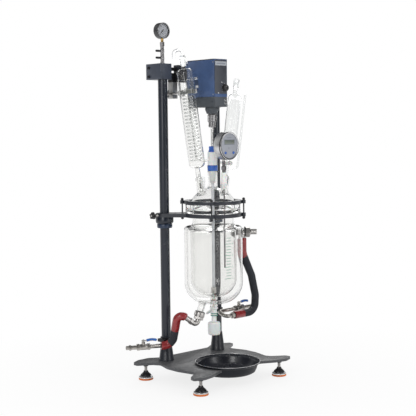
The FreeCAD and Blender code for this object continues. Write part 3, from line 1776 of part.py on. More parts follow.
# Vacuum gauge on its pipe above the left column.
def gauge():
    across = "-column_half_span"
    rear = "column_rear"
    length = f"gauge_hex_level - ({BLOCK_TOP})"
    pipe = cylinder("GaugePipe", "gauge_pipe_radius", length, across, rear, BLOCK_TOP)
    hexes = hexagon(
        "GaugeHex", "gauge_pipe_radius + 2", "gauge_hex_height", across, rear, "gauge_hex_level"
    )
    nipples = []
    for rise in ("22", "48"):
        nipples.append(
            cylinder(
                "GaugeNipple",
                "3.2",
                "26",
                "-column_half_span - 26 - gauge_pipe_radius + 2",
                rear,
                BLOCK_TOP + " + " + rise,
                Y_AXIS,
                90,
            )
        )
    brass = cylinder(
        "GaugeBrass",
        "gauge_brass_radius",
        "gauge_level - gauge_radius - gauge_hex_level - gauge_hex_height - 0.2",
        across,
        rear,
        "gauge_hex_level + gauge_hex_height",
    )
    steel = fuse("GaugePipeSteel", pipe, hexes, *nipples)
    node(group("GaugePipeSet", steel, brass), "gauge_pipe")
    back = f"{rear} + gauge_behind"
    case = turned(
        "GaugeCase",
        ("0", "0"),
        ("gauge_radius - 2", "0"),
        ("gauge_radius", "2"),
        ("gauge_radius", "gauge_depth"),
        ("gauge_radius - 3.5", "gauge_depth"),
        ("gauge_radius - 3.5", "gauge_depth - 1"),
        ("gauge_radius - gauge_wall", "gauge_depth - 2"),
        ("gauge_radius - gauge_wall", "3"),
        ("0", "3"),
        x=across,
        y=back,
        z="gauge_level",
        axis=X_AXIS,
        angle=90,
    )
    node(case, "gauge_case")
    dial = turned(
        "GaugeDial",
        ("0", "3"),
        ("gauge_radius - gauge_wall - 0.2", "3"),
        ("gauge_radius - gauge_wall - 0.2", "gauge_depth - 8"),
        ("1.5", "gauge_depth - 8"),
        ("1.5", "gauge_depth - 4.2"),
        ("0", "gauge_depth - 4.2"),
        x=across,
        y=back,
        z="gauge_level",
        axis=X_AXIS,
        angle=90,
    )
    node(dial, "gauge_dial")
    window = turned(
        "GaugeWindow",
        ("0", "gauge_depth - 3.8"),
        ("gauge_radius - gauge_wall - 0.2", "gauge_depth - 3.8"),
        ("gauge_radius - gauge_wall - 0.2", "gauge_depth - 2.2"),
        ("0", "gauge_depth - 2.2"),
        x=across,
        y=back,
        z="gauge_level",
        axis=X_AXIS,
        angle=90,
    )
    node(window, "gauge_window")
    level = val("gauge_depth") - 6.5
    hub = Part.makeCylinder(3.2, 1.2, FreeCAD.Vector(0, 0, level))
    hub = hub.cut(Part.makeCylinder(1.55, 1.2, FreeCAD.Vector(0, 0, level)))
    corners = ((2.4, -1.2), (21, -0.3), (21, 0.3), (2.4, 1.2), (2.4, -1.2))
    outline = Part.Face(Part.makePolygon([FreeCAD.Vector(x, y, level) for x, y in corners]))
    blade = moved(outline.extrude(FreeCAD.Vector(0, 0, 1.2)), 0, 0, 0, Z_AXIS, 225)
    item = solid("GaugeNeedle", hub.fuse(blade).removeSplitter())
    node(place(item, across, back, "gauge_level", X_AXIS, 90), "gauge_needle")


gauge()


doc.recompute()
for item in nodes:
    if "Invalid" in item.State or "Error" in item.State:
        raise RuntimeError(f"{item.Label} did not compute")
    if item.Shape.isNull() or not item.Shape.isValid():
        raise RuntimeError(f"{item.Label} has a faulty shape")
    if not item.Shape.Solids:
        raise RuntimeError(f"{item.Label} has no solid")
for item in nodes:
    item.Shape.exportStep(os.path.join("parts", item.Label + ".step"))
print(len(nodes), "nodes written")
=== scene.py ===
import random
from math import asin, atan2, cos, degrees, exp, hypot, pi, radians, sin, sqrt, tan, tau

import bmesh
import bpy
from mathutils import Matrix, Quaternion, Vector


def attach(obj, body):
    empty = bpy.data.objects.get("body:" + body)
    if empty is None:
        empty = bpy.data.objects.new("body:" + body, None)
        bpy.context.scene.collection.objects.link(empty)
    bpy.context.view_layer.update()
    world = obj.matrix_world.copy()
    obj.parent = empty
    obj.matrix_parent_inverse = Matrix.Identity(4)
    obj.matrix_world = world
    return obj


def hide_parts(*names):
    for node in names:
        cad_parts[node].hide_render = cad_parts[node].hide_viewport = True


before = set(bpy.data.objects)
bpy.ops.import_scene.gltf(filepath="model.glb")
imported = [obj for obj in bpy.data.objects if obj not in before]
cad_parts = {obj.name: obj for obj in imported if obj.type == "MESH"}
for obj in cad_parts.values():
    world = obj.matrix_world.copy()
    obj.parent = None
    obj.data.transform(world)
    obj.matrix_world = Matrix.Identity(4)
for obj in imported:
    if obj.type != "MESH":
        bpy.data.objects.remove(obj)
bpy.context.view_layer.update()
scene = bpy.context.scene
scene.view_settings.view_transform = "Standard"


# Camera. It stands to the left front of the reactor, a little above its middle, and looks
# slightly down; the small roll is the photograph's own.
camera_heading = radians(-42.10)
camera_pitch = radians(4.44)
camera_roll = radians(0.61)
lens = bpy.data.cameras.new("camera")
lens.sensor_width = 36
lens.lens = 85.21
lens.clip_end = 60
camera = bpy.data.objects.new("camera", lens)
scene.collection.objects.link(camera)
level_look = Matrix.Rotation(camera_heading, 3, "Z") @ Matrix.Rotation(pi / 2 - camera_pitch, 3, "X")
camera.rotation_mode = "QUATERNION"
camera.rotation_quaternion = level_look.to_quaternion() @ Quaternion((0, 0, 1), -camera_roll)
camera.location = (-2.5640, -2.8090, 0.9637)
scene.camera = camera


# Studio. A white sweep with soft daylight from all round; what the glass and the metal mirror
# is the same white with darker gaps between the lights, so that their edges read.
def add(tree, kind, **values):
    """A shader node; a value named after a socket goes on the socket, any other on the node."""
    made = tree.nodes.new(kind)
    for name, value in values.items():
        socket = made.inputs.get(name.replace("_", " "))
        if socket is not None and name[0].isupper():
            socket.default_value = value
        else:
            setattr(made, name, value)
    return made


def ramp(tree, source, *stops):
    """A colour ramp of grey or coloured stops on a value."""
    made = tree.nodes.new("ShaderNodeValToRGB")
    bar = made.color_ramp
    while len(bar.elements) < len(stops):
        bar.elements.new(0.5)
    for element, (place, tint) in zip(bar.elements, stops):
        element.position = place
        element.color = (*tint, 1) if isinstance(tint, tuple) else (tint, tint, tint, 1)
    tree.links.new(source, made.inputs[0])
    return made.outputs[0]


def sums(tree, job, first, second=None, third=None):
    """A math node on sockets or numbers."""
    made = tree.nodes.new("ShaderNodeMath")
    made.operation = job
    for socket, value in zip(made.inputs, (first, second, third)):
        if value is None:
            continue
        if isinstance(value, (int, float)):
            socket.default_value = value
        else:
            tree.links.new(value, socket)
    return made.outputs[0]


def mixed(tree, share, first, second):
    """Two shaders mixed by a share from 0 to 1."""
    made = add(tree, "ShaderNodeMixShader")
    for socket, source in zip(made.inputs, (share, first, second)):
        tree.links.new(source, socket)
    return made.outputs[0]


studio = bpy.data.worlds.new("studio")
scene.world = studio
studio.use_nodes = True
sky = studio.node_tree
sky.nodes.clear()
sky_way = add(sky, "ShaderNodeTexCoord")
sky_parts = add(sky, "ShaderNodeSeparateXYZ")
sky.links.new(sky_way.outputs["Generated"], sky_parts.inputs[0])
sky_height = sums(sky, "MULTIPLY_ADD", sky_parts.outputs[2], 0.5, 0.5)
sky_turn = sums(sky, "ARCTAN2", sky_parts.outputs[1], sky_parts.outputs[0])
sky_bands = sums(
    sky, "MULTIPLY_ADD", sums(sky, "SINE", sums(sky, "MULTIPLY_ADD", sky_turn, 4, 0.6)), 0.5, 0.5,
)
sky_rays = add(sky, "ShaderNodeLightPath")
soft_light = add(sky, "ShaderNodeBackground", Strength=0.80)
sky.links.new(ramp(sky, sky_height, (0, 0.70), (0.45, 0.82), (0.7, 0.98), (1, 1)), soft_light.inputs[0])
mirrored = add(sky, "ShaderNodeBackground", Strength=1)
band_tone = ramp(sky, sky_bands, (0.20, 0.07), (0.55, 0.36), (0.92, 0.92))
mirrored_mix = add(sky, "ShaderNodeMix", data_type="RGBA", blend_type="MULTIPLY")
mirrored_mix.inputs[0].default_value = 1
sky.links.new(band_tone, mirrored_mix.inputs[6])
sky.links.new(
    ramp(sky, sky_height, (0.2, 0.95), (0.52, 1), (0.72, 0.75), (0.9, 0.45)), mirrored_mix.inputs[7],
)
sky.links.new(mirrored_mix.outputs[2], mirrored.inputs[0])
backdrop = add(sky, "ShaderNodeBackground", Color=(1, 1, 1, 1), Strength=1)
through_tone = add(sky, "ShaderNodeBackground", Strength=1)
sky.links.new(ramp(sky, sky_bands, (0, 0.93), (0.6, 0.985)), through_tone.inputs[0])
lit = mixed(sky, sky_rays.outputs["Is Glossy Ray"], soft_light.outputs[0], mirrored.outputs[0])
lit = mixed(sky, sky_rays.outputs["Is Transmission Ray"], lit, through_tone.outputs[0])
lit = mixed(sky, sky_rays.outputs["Is Camera Ray"], lit, backdrop.outputs[0])
sky.links.new(lit, add(sky, "ShaderNodeOutputWorld").inputs[0])


def softbox(name, spot, wide, tall, power):
    """A tall soft light that faces the middle of the reactor."""
    light = bpy.data.lights.new(name, "AREA")
    light.shape = "RECTANGLE"
    light.size = wide
    light.size_y = tall
    light.energy = power
    lamp = bpy.data.objects.new(name, light)
    scene.collection.objects.link(lamp)
    lamp.location = spot
    lamp.rotation_mode = "QUATERNION"
    lamp.rotation_quaternion = (Vector((0, 0, 0.75)) - Vector(spot)).to_track_quat("-Z", "Y")


softbox("key_softbox", (-3, -1.5, 2), 0.9, 2.4, 34)
softbox("fill_softbox", (0.9, -3.3, 1.6), 0.7, 2.2, 16)
softbox("rear_softbox", (2.4, 2.2, 2.3), 1.2, 2, 22)

floor_mesh = bpy.data.meshes.new("floor")
floor_form = bmesh.new()
bmesh.ops.create_circle(floor_form, cap_ends=True, radius=14, segments=64)
floor_form.to_mesh(floor_mesh)
floor_form.free()
floor = bpy.data.objects.new("floor", floor_mesh)
scene.collection.objects.link(floor)
floor_paint = bpy.data.materials.new("white_floor")
floor_paint.use_nodes = True
ground = floor_paint.node_tree
ground.nodes.clear()
floor_place = add(ground, "ShaderNodeNewGeometry")
floor_reach = add(ground, "ShaderNodeVectorMath", operation="LENGTH")
ground.links.new(floor_place.outputs["Position"], floor_reach.inputs[0])
floor_fade = ramp(
    ground, sums(ground, "MULTIPLY", floor_reach.outputs["Value"], 0.5), (0.12, 0.80), (0.62, 1),
)
floor_rays = add(ground, "ShaderNodeLightPath")
floor_seen = sums(
    ground, "MAXIMUM",
    sums(ground, "MAXIMUM", floor_rays.outputs["Is Camera Ray"], floor_rays.outputs["Is Glossy Ray"]),
    floor_rays.outputs["Is Transmission Ray"],
)
floor_share = sums(ground, "MULTIPLY", floor_fade, floor_seen)
floor_matt = add(ground, "ShaderNodeBsdfDiffuse", Color=(0.86, 0.86, 0.86, 1))
floor_glow = add(ground, "ShaderNodeEmission", Color=(1, 1, 1, 1), Strength=1)
floor_look = mixed(ground, floor_share, floor_matt.outputs[0], floor_glow.outputs[0])
ground.links.new(floor_look, add(ground, "ShaderNodeOutputMaterial").inputs[0])
floor_mesh.materials.append(floor_paint)


# Base plate. One 10 mm steel plate, laser cut with four flared arms and a round seat for the
# dish, its edges broken, powder coated in dark grey with a fine satin grain.
def group_tree(name, takes, gives):
    """An empty shader node group with number sockets."""
    made = bpy.data.node_groups.new(name, "ShaderNodeTree")
    for label, start in takes:
        socket = made.interface.new_socket(label, in_out="INPUT", socket_type="NodeSocketFloat")
        socket.default_value = start
    for label in gives:
        made.interface.new_socket(label, in_out="OUTPUT", socket_type="NodeSocketFloat")
    return made, made.nodes.new("NodeGroupInput"), made.nodes.new("NodeGroupOutput")


def speckle(tree, size, detail, roughness):
    """Noise that is fixed to the piece; its size is a socket in millimetres."""
    place = add(tree, "ShaderNodeTexCoord")
    made = add(tree, "ShaderNodeTexNoise", Detail=detail, Roughness=roughness)
    tree.links.new(place.outputs["Object"], made.inputs["Vector"])
    tree.links.new(sums(tree, "DIVIDE", 1000, size), made.inputs["Scale"])
    return made.outputs["Fac"]


grain_group, grain_in, grain_out = group_tree(
    "coating_grain", (("Grain Size", 0.8), ("Patch Size", 40)), ("Height", "Tone"),
)
grain_group.links.new(speckle(grain_group, grain_in.outputs[0], 3, 0.6), grain_out.inputs[0])
grain_group.links.new(speckle(grain_group, grain_in.outputs[1], 4, 0.55), grain_out.inputs[1])

wear_group, wear_in, wear_out = group_tree("rubbed_edges", (("Amount", 0.3), ("Patch Size", 12)), ("Mask",))
wear_flat = add(wear_group, "ShaderNodeNewGeometry")
wear_round = add(wear_group, "ShaderNodeBevel", samples=4)
wear_round.inputs["Radius"].default_value = 0.0012
wear_dot = add(wear_group, "ShaderNodeVectorMath", operation="DOT_PRODUCT")
wear_group.links.new(wear_flat.outputs["Normal"], wear_dot.inputs[0])
wear_group.links.new(wear_round.outputs[0], wear_dot.inputs[1])
wear_bend = sums(wear_group, "MULTIPLY", sums(wear_group, "SUBTRACT", 1, wear_dot.outputs["Value"]), 9)
wear_break = ramp(wear_group, speckle(wear_group, wear_in.outputs[1], 5, 0.7), (0.38, 0.15), (0.62, 1))
wear_full = sums(wear_group, "MULTIPLY", sums(wear_group, "MINIMUM", wear_bend, 1), wear_break)
wear_group.links.new(sums(wear_group, "MULTIPLY", wear_full, wear_in.outputs[0]), wear_out.inputs[0])

dust_group, dust_in, dust_out = group_tree("settled_dust", (("Amount", 0.1), ("Patch Size", 30)), ("Mask",))
dust_flat = add(dust_group, "ShaderNodeNewGeometry")
dust_parts = add(dust_group, "ShaderNodeSeparateXYZ")
dust_group.links.new(dust_flat.outputs["Normal"], dust_parts.inputs[0])
dust_up = ramp(dust_group, dust_parts.outputs[2], (0.35, 0), (0.95, 1))
dust_cloud = ramp(dust_group, speckle(dust_group, dust_in.outputs[1], 6, 0.65), (0.3, 0.25), (0.7, 1))
dust_all = sums(dust_group, "MULTIPLY", sums(dust_group, "MULTIPLY", dust_up, dust_cloud), dust_in.outputs[0])
dust_group.links.new(dust_all, dust_out.inputs[0])


def place_group(tree, group, **values):
    """A group in a material, its values named after its sockets."""
    made = tree.nodes.new("ShaderNodeGroup")
    made.node_tree = group
    for name, value in values.items():
        made.inputs[name.replace("_", " ")].default_value = value
    return made


def blended(tree, share, low, high):
    """Mixes two colours, each a tuple or a socket, by a share from 0 to 1."""
    made = add(tree, "ShaderNodeMix", data_type="RGBA")
    for socket, value in ((made.inputs[0], share), (made.inputs[6], low), (made.inputs[7], high)):
        if isinstance(value, tuple):
            socket.default_value = (*value, 1)
        elif isinstance(value, float):
            socket.default_value = value
        else:
            tree.links.new(value, socket)
    return made.outputs[2]


def shaded(colour, factor):
    """A lighter or darker colour."""
    return tuple(min(1, part * factor) for part in colour)


def bumped(tree, surface, height, strength, distance):
    """Small bumps on a surface; the distance is in metres."""
    bumps = add(tree, "ShaderNodeBump", Strength=strength)
    bumps.inputs["Distance"].default_value = distance
    tree.links.new(height, bumps.inputs["Height"])
    tree.links.new(bumps.outputs[0], surface.inputs["Normal"])


def finish(
    name, colour, roughness, metallic=0, grain=0.8, depth=0.12, patch=40, mottle=0.12, wear=0.25,
    wear_colour=(0.30, 0.31, 0.33), dust=0.06, streaks=None, coat=0, specular=0.5, soft=0,
):
    """A surface with grain, patches of tone, rubbed edges and a little dust, or with tool streaks."""
    made = bpy.data.materials.new(name)
    made.use_nodes = True
    tree = made.node_tree
    surface = tree.nodes["Principled BSDF"]
    for socket, value in (
        ("Metallic", metallic), ("Specular IOR Level", specular), ("Coat Weight", coat),
        ("Coat Roughness", 0.08), ("Subsurface Weight", soft), ("Subsurface Scale", 0.004),
    ):
        surface.inputs[socket].default_value = value
    texture = place_group(tree, grain_group, Grain_Size=grain, Patch_Size=patch)
    tone = ramp(tree, texture.outputs["Tone"], (0.32, 0), (0.68, 1))
    height = texture.outputs["Height"]
    if streaks is not None:
        way = add(tree, "ShaderNodeTexCoord")
        stretch = add(tree, "ShaderNodeMapping")
        stretch.inputs["Scale"].default_value = streaks
        tree.links.new(way.outputs["Object"], stretch.inputs["Vector"])
        lines = add(tree, "ShaderNodeTexNoise", Scale=1, Detail=4, Roughness=0.7)
        tree.links.new(stretch.outputs[0], lines.inputs["Vector"])
        height = lines.outputs["Fac"]
        tone = ramp(tree, height, (0.3, 0), (0.7, 1))
    tint = blended(tree, tone, shaded(colour, 1 - mottle), shaded(colour, 1 + mottle))
    if wear:
        rubbed = place_group(tree, wear_group, Amount=wear)
        tint = blended(tree, rubbed.outputs[0], tint, wear_colour)
    if dust:
        film = place_group(tree, dust_group, Amount=dust)
        tint = blended(tree, film.outputs[0], tint, (0.55, 0.54, 0.52))
    tree.links.new(tint, surface.inputs["Base Color"])
    rough = sums(tree, "MULTIPLY_ADD", tone, 0.12, roughness - 0.06)
    tree.links.new(rough, surface.inputs["Roughness"])
    bumped(tree, surface, height, depth, 0.0004)
    return made


def rounded_outline(points, radii, steps=6):
    """A polygon's corners replaced by arcs."""
    line = []
    for here, (x, y) in enumerate(points):
        corner = Vector((x, y))
        back = (Vector(points[here - 1]) - corner).normalized()
        ahead = (Vector(points[(here + 1) % len(points)]) - corner).normalized()
        half = back.angle(ahead) / 2
        reach = radii[here] / tan(half)
        start = corner + back * reach
        end = corner + ahead * reach
        centre = corner + (back + ahead).normalized() * (radii[here] / sin(half))
        first = start - centre
        last = end - centre
        sweep = first.angle_signed(last)
        for step in range(steps + 1):
            turn = Matrix.Rotation(-sweep * step / steps, 2)
            line.append(tuple(centre + turn @ first))
    return line


def shape_of(form, material):
    """Points, faces and material of a bmesh, which it frees."""
    form.verts.index_update()
    points = [vert.co.copy() for vert in form.verts]
    faces = [tuple(vert.index for vert in face.verts) for face in form.faces]
    form.free()
    return points, faces, material


def softened(form, width, angle=30, segments=2):
    """Rounds the sharp edges of a bmesh."""
    limit = radians(angle)
    edges = [edge for edge in form.edges if len(edge.link_faces) == 2 and edge.calc_face_angle() > limit]
    bmesh.ops.bevel(
        form, geom=edges, offset=width, offset_type="OFFSET", segments=segments, profile=0.6, affect="EDGES",
        clamp_overlap=True,
    )
    return form


def slab(material, outline, low, high, width=0.8, holes=()):
    """A plate cut to an outline with round holes, its edges broken."""
    line = bpy.data.curves.new("outline", "CURVE")
    line.dimensions = "2D"
    line.fill_mode = "BOTH"
    line.extrude = (high - low) / 2 - width
    line.bevel_depth = width
    line.bevel_resolution = 1
    line.offset = -width
    loops = [outline]
    for x, y, radius in holes:
        loops.append([
            (x + radius * cos(tau * step / 96), y + radius * sin(tau * step / 96))
            for step in range(96)
        ])
    for loop in loops:
        spline = line.splines.new("POLY")
        spline.points.add(len(loop) - 1)
        for spot, (x, y) in zip(spline.points, loop):
            spot.co = (x, y, 0, 1)
        spline.use_cyclic_u = True
    pattern = bpy.data.objects.new("outline", line)
    mesh = bpy.data.meshes.new_from_object(pattern)
    form = bmesh.new()
    form.from_mesh(mesh)
    bmesh.ops.remove_doubles(form, verts=form.verts, dist=0.001)
    bmesh.ops.recalc_face_normals(form, faces=form.faces)
    bmesh.ops.translate(form, verts=form.verts, vec=(0, 0, (low + high) / 2))
    bpy.data.objects.remove(pattern)
    bpy.data.curves.remove(line)
    bpy.data.meshes.remove(mesh)
    return shape_of(form, material)


def piece(name, body, shapes, node=None, smooth=32):
    """Joins shapes, drawn in millimetres, into one object that rides on a body."""
    points = []
    faces = []
    marks = []
    materials = []
    for spots, loops, material in shapes:
        if material not in materials:
            materials.append(material)
        first = len(points)
        points.extend(spot * 0.001 for spot in spots)
        faces.extend(tuple(first + corner for corner in loop) for loop in loops)
        marks.extend([materials.index(material)] * len(loops))
    mesh = bpy.data.meshes.new(name)
    mesh.from_pydata(points, [], faces)
    for material in materials:
        mesh.materials.append(material)
    mesh.polygons.foreach_set("material_index", marks)
    mesh.polygons.foreach_set("use_smooth", [True] * len(faces))
    mesh.set_sharp_from_angle(angle=radians(smooth))
    mesh.update()
    made = bpy.data.objects.new(name, mesh)
    scene.collection.objects.link(made)
    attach(made, body)
    if node:
        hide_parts(node)


slate_coat = finish(
    "slate_powder_coat", (0.018, 0.021, 0.029), 0.36, depth=0.16, mottle=0.08, wear=0.22,
    wear_colour=(0.13, 0.14, 0.16), dust=0.04,
)
block_coat = finish(
    "block_powder_coat", (0.046, 0.055, 0.078), 0.42, depth=0.18, mottle=0.08, wear_colour=(0.14, 0.16, 0.20),
)
plate_coat = finish(
    "plate_powder_coat", (0.066, 0.068, 0.074), 0.44, grain=0.9, depth=0.22, mottle=0.08,
    wear_colour=(0.17, 0.18, 0.20), dust=0.08,
)
plate_low, plate_high = 62, 72
plate_seat_y = -76
plate_rear = [(208, 40), (188, 104), (204, 130), (257, 164), (257, 186), (217, 206), (165, 206), (129, 182)]
plate_front = [
    (208, -20), (192, -92), (202, -112), (251, -145), (255, -169), (215, -185), (165, -175), (105, -145),
]
rear_bends = [60, 20, 12, 8, 9, 30, 25, 18]
front_bends = [60, 14, 8, 10, 9, 26, 40, 20]
plate_right = plate_rear[::-1] + plate_front
plate_bends = rear_bends[::-1] + front_bends
plate_line = rounded_outline(
    plate_right + [(-x, y) for x, y in reversed(plate_right)], plate_bends + plate_bends[::-1],
)


def carved(base, added=(), taken=(), width=0, angle=35):
    """Joins and cuts bmesh forms with the boolean modifier, then rounds the edges that are left."""
    helpers = []

    def helper(form):
        mesh = bpy.data.meshes.new("blank")
        form.to_mesh(mesh)
        form.free()
        blank = bpy.data.objects.new("blank", mesh)
        scene.collection.objects.link(blank)
        helpers.append(blank)
        return blank

    target = helper(base)
    for forms, job in ((added, "UNION"), (taken, "DIFFERENCE")):
        for form in forms:
            joint = target.modifiers.new(job, "BOOLEAN")
            joint.operation = job
            joint.solver = "EXACT"
            joint.object = helper(form)
    bpy.context.view_layer.update()
    mesh = bpy.data.meshes.new_from_object(target.evaluated_get(bpy.context.evaluated_depsgraph_get()))
    result = bmesh.new()
    result.from_mesh(mesh)
    bpy.data.meshes.remove(mesh)
    for blank in helpers:
        old = blank.data
        bpy.data.objects.remove(blank)
        bpy.data.meshes.remove(old)
    bmesh.ops.remove_doubles(result, verts=result.verts, dist=0.002)
    bmesh.ops.dissolve_limit(
        result, angle_limit=radians(0.5), verts=result.verts, edges=result.edges, delimit={"NORMAL"},
    )
    if width:
        softened(result, width, angle)
    return result


def disc(radius, low, high, x=0, y=0, steps=128, place=None):
    """A round blank as a bmesh."""
    form = bmesh.new()
    bmesh.ops.create_cone(
        form, cap_ends=True, segments=steps, radius1=radius, radius2=radius, depth=high - low,
        matrix=(place or Matrix()) @ Matrix.Translation((x, y, (low + high) / 2)),
    )
    return form


def prism(corners, low, high, along_y=False):
    """A polygon as a bmesh, drawn in X and Y and extruded along Z, or in X and Z and along Y."""
    form = bmesh.new()
    face = form.faces.new([form.verts.new((a, low, b) if along_y else (a, b, low)) for a, b in corners])
    grown = bmesh.ops.extrude_face_region(form, geom=[face])
    ends = [item for item in grown["geom"] if isinstance(item, bmesh.types.BMVert)]
    bmesh.ops.translate(form, verts=ends, vec=(0, high - low, 0) if along_y else (0, 0, high - low))
    bmesh.ops.recalc_face_normals(form, faces=form.faces)
    return form


def bar(left, front, right, rear, low, high):
    """A square-cornered blank as a bmesh."""
    return prism([(left, front), (right, front), (right, rear), (left, rear)], low, high)


plate_seat = disc(118.2, plate_low - 12, plate_high + 8, 0, plate_seat_y, 192)
plate = carved(prism(plate_line, plate_low, plate_high), taken=[plate_seat], width=0.9)
piece("base_plate_coated", "stand", [shape_of(plate, plate_coat)], node="base_plate")


# Catch dish. A pressed aluminium pan with a black non-stick enamel inside and out; the edge of
# its rim is left bright where it was trimmed. It hangs by its lip in the seat of the plate.
def moved(x, y, z):
    """A frame moved from the origin."""
    return Matrix.Translation((x, y, z))


def tilted(angle, axis):
    """A frame turned about one of its axes, in degrees."""
    return Matrix.Rotation(radians(angle), 4, axis)


def aim(at, way=(0, 0, 1), turn=0):
    """A frame at a spot with its Z along a direction."""
    spin = Vector((0, 0, 1)).rotation_difference(Vector(way)).to_matrix().to_4x4()
    return Matrix.Translation(Vector(at)) @ spin @ tilted(turn, "Z")


def eased(profile, width, steps=3):
    """Rounds the corners of a (radius, level) profile by about the same width."""
    line = []
    for number, spot in enumerate(profile):
        here = Vector(spot)
        if number in (0, len(profile) - 1) or width == 0:
            line.append(tuple(here))
            continue
        back = Vector(profile[number - 1]) - here
        ahead = Vector(profile[number + 1]) - here
        reach = min(width, back.length * 0.45, ahead.length * 0.45)
        start = here + back.normalized() * reach
        end = here + ahead.normalized() * reach
        for step in range(steps + 1):
            share = step / steps
            line.append(tuple((start.lerp(here, share)).lerp(here.lerp(end, share), share)))
    return line


def round_spot(reach, turn, level):
    """The point at a distance from an upright axis, at a turn and a level."""
    return Vector((reach * cos(turn), reach * sin(turn), level))


def wall_faces(first, rows, steps, closed=False):
    """The faces of a wall whose points lie in rows; a closed one joins its last row to its first."""
    faces = []
    for row in range(rows if closed else rows - 1):
        low = first + row * steps
        high = first + (row + 1) % rows * steps
        for step in range(steps):
            after = (step + 1) % steps
            faces.append((low + step, low + after, high + after, high + step))
    return faces


def turned(material, profile, place=None, steps=64, width=0, ring=False):
    """A lathe shape from (radius, level) pairs in millimetres; a ring joins its last pair to its first."""
    line = eased(profile, width)
    place = place or Matrix()
    points = []
    loops = []
    rows = []
    for radius, level in line:
        if radius < 1e-6:
            rows.append([len(points)])
            points.append(place @ Vector((0, 0, level)))
            continue
        rows.append(list(range(len(points), len(points) + steps)))
        for step in range(steps):
            points.append(place @ round_spot(radius, tau * step / steps, level))
    pairs = list(zip(rows, rows[1:]))
    if ring:
        pairs.append((rows[-1], rows[0]))
    for low, high in pairs:
        for step in range(steps):
            after = (step + 1) % steps
            if len(low) == 1 and len(high) == 1:
                continue
            if len(low) == 1:
                loops.append((low[0], high[after], high[step]))
            elif len(high) == 1:
                loops.append((low[step], low[after], high[0]))
            else:
                loops.append((low[step], low[after], high[after], high[step]))
    return points, loops, material


def sleeve(material, profile, place=None, steps=64, width=0):
    """A lathe shape round a bore, its profile closed on itself."""
    return turned(material, profile, place, steps, width, ring=True)


dish_enamel = finish(
    "black_nonstick_enamel", (0.013, 0.015, 0.022), 0.28, grain=1.4, depth=0.10, patch=60, mottle=0.2,
    wear_colour=(0.08, 0.08, 0.09), dust=0.03, coat=0.1,
)
dish_coat = finish(
    "black_dish_coat", (0.009, 0.011, 0.016), 0.42, grain=1.2, patch=60, mottle=0.15, wear=0.2,
    wear_colour=(0.06, 0.06, 0.07), dust=0.03, specular=0.22,
)
bright_trim = finish(
    "trimmed_aluminium", (0.74, 0.74, 0.75), 0.48, metallic=1, depth=0.06, mottle=0.08, wear=0, dust=0,
    streaks=(60, 60, 1500),
)
dish_place = moved(0, plate_seat_y, 36)
dish_profile = [
    (0, 0), (88, 0), (95, 1.2), (98, 1.5), (106, 6), (111.5, 17), (116.2, 32), (117.5, 35), (120, 36.3),
    (122.5, 37.2), (125.2, 42), (126, 44.2),
]
dish_inside = [
    (124.4, 44.3), (123.2, 42.4), (120.6, 38.6), (117.8, 37.7), (115.4, 36.2), (114.2, 32.4), (109.8, 18),
    (104.6, 7.6), (98.4, 3.2), (92, 2), (60, 1.6), (59, 2.2), (57, 2.2), (56, 1.6), (0, 1.6),
]
piece(
    "catch_dish_enamelled", "catch_dish",
    [
        turned(dish_coat, dish_profile, dish_place, steps=128),
        turned(dish_enamel, [(126, 44.2)] + dish_inside, dish_place, steps=128),
        sleeve(
            bright_trim,
            [(126, 44), (126.35, 44.7), (125.6, 45.2), (124.6, 45.1), (124.2, 44.4), (125.2, 44.1)],
            dish_place, steps=128,
        ),
    ],
    node="catch_dish", smooth=50,
)


# Levelling feet. Threaded steel studs through the plate corners, a black swivel cap over a satin
# steel pad, and a thick orange rubber sole; a black hexagon lock nut sits under the plate.
def placed(form, place):
    """Carries a bmesh to its place."""
    bmesh.ops.transform(form, matrix=place, verts=form.verts)
    return form


def round_row(form, radius, level, count):
    """Points spaced evenly round a circle."""
    turns = [tau * k / count for k in range(count)]
    return [form.verts.new((radius * cos(turn), radius * sin(turn), level)) for turn in turns]


def band(form, under, over):
    """The faces between two rows of points."""
    count = len(under)
    for k in range(count):
        form.faces.new((under[k], under[(k + 1) % count], over[(k + 1) % count], over[k]))


def hexagon(material, radius, low, high, place=None, bore=0):
    """A hexagon bar or nut with chamfered corners, sized over its corners."""
    place = place or Matrix()
    form = bmesh.new()
    cut = min(radius * 0.10, (high - low) * 0.2)
    line = ((radius - cut, low), (radius, low + cut * 0.6), (radius, high - cut * 0.6), (radius - cut, high))
    rows = [round_row(form, reach, level, 6) for reach, level in line]
    for under, over in zip(rows, rows[1:]):
        band(form, under, over)
    if bore:
        inner = [round_row(form, bore, level, 24) for level in (low, high)]
        for end, row in ((0, inner[0]), (3, inner[1])):
            edges = [form.edges.get((rows[end][k], rows[end][(k + 1) % 6])) for k in range(6)]
            edges += [form.edges.new((row[k], row[(k + 1) % 24])) for k in range(24)]
            bmesh.ops.triangle_fill(form, use_beauty=True, edges=edges)
        for k in range(24):
            form.faces.new((inner[0][k], inner[1][k], inner[1][(k + 1) % 24], inner[0][(k + 1) % 24]))
    else:
        form.faces.new(rows[0][::-1])
        form.faces.new(rows[-1])
    bmesh.ops.recalc_face_normals(form, faces=form.faces)
    return shape_of(placed(form, place), material)


def threaded(radius, low, high, pitch, depth=0.5):
    """A (radius, level) run of thread crests and roots."""
    line = []
    count = max(1, int((high - low) / pitch))
    for crest in range(count):
        level = low + (high - low) * crest / count
        step = (high - low) / count
        line += [
            (radius - depth, level + step * 0.1), (radius, level + step * 0.4), (radius, level + step * 0.6),
            (radius - depth, level + step * 0.9),
        ]
    return line


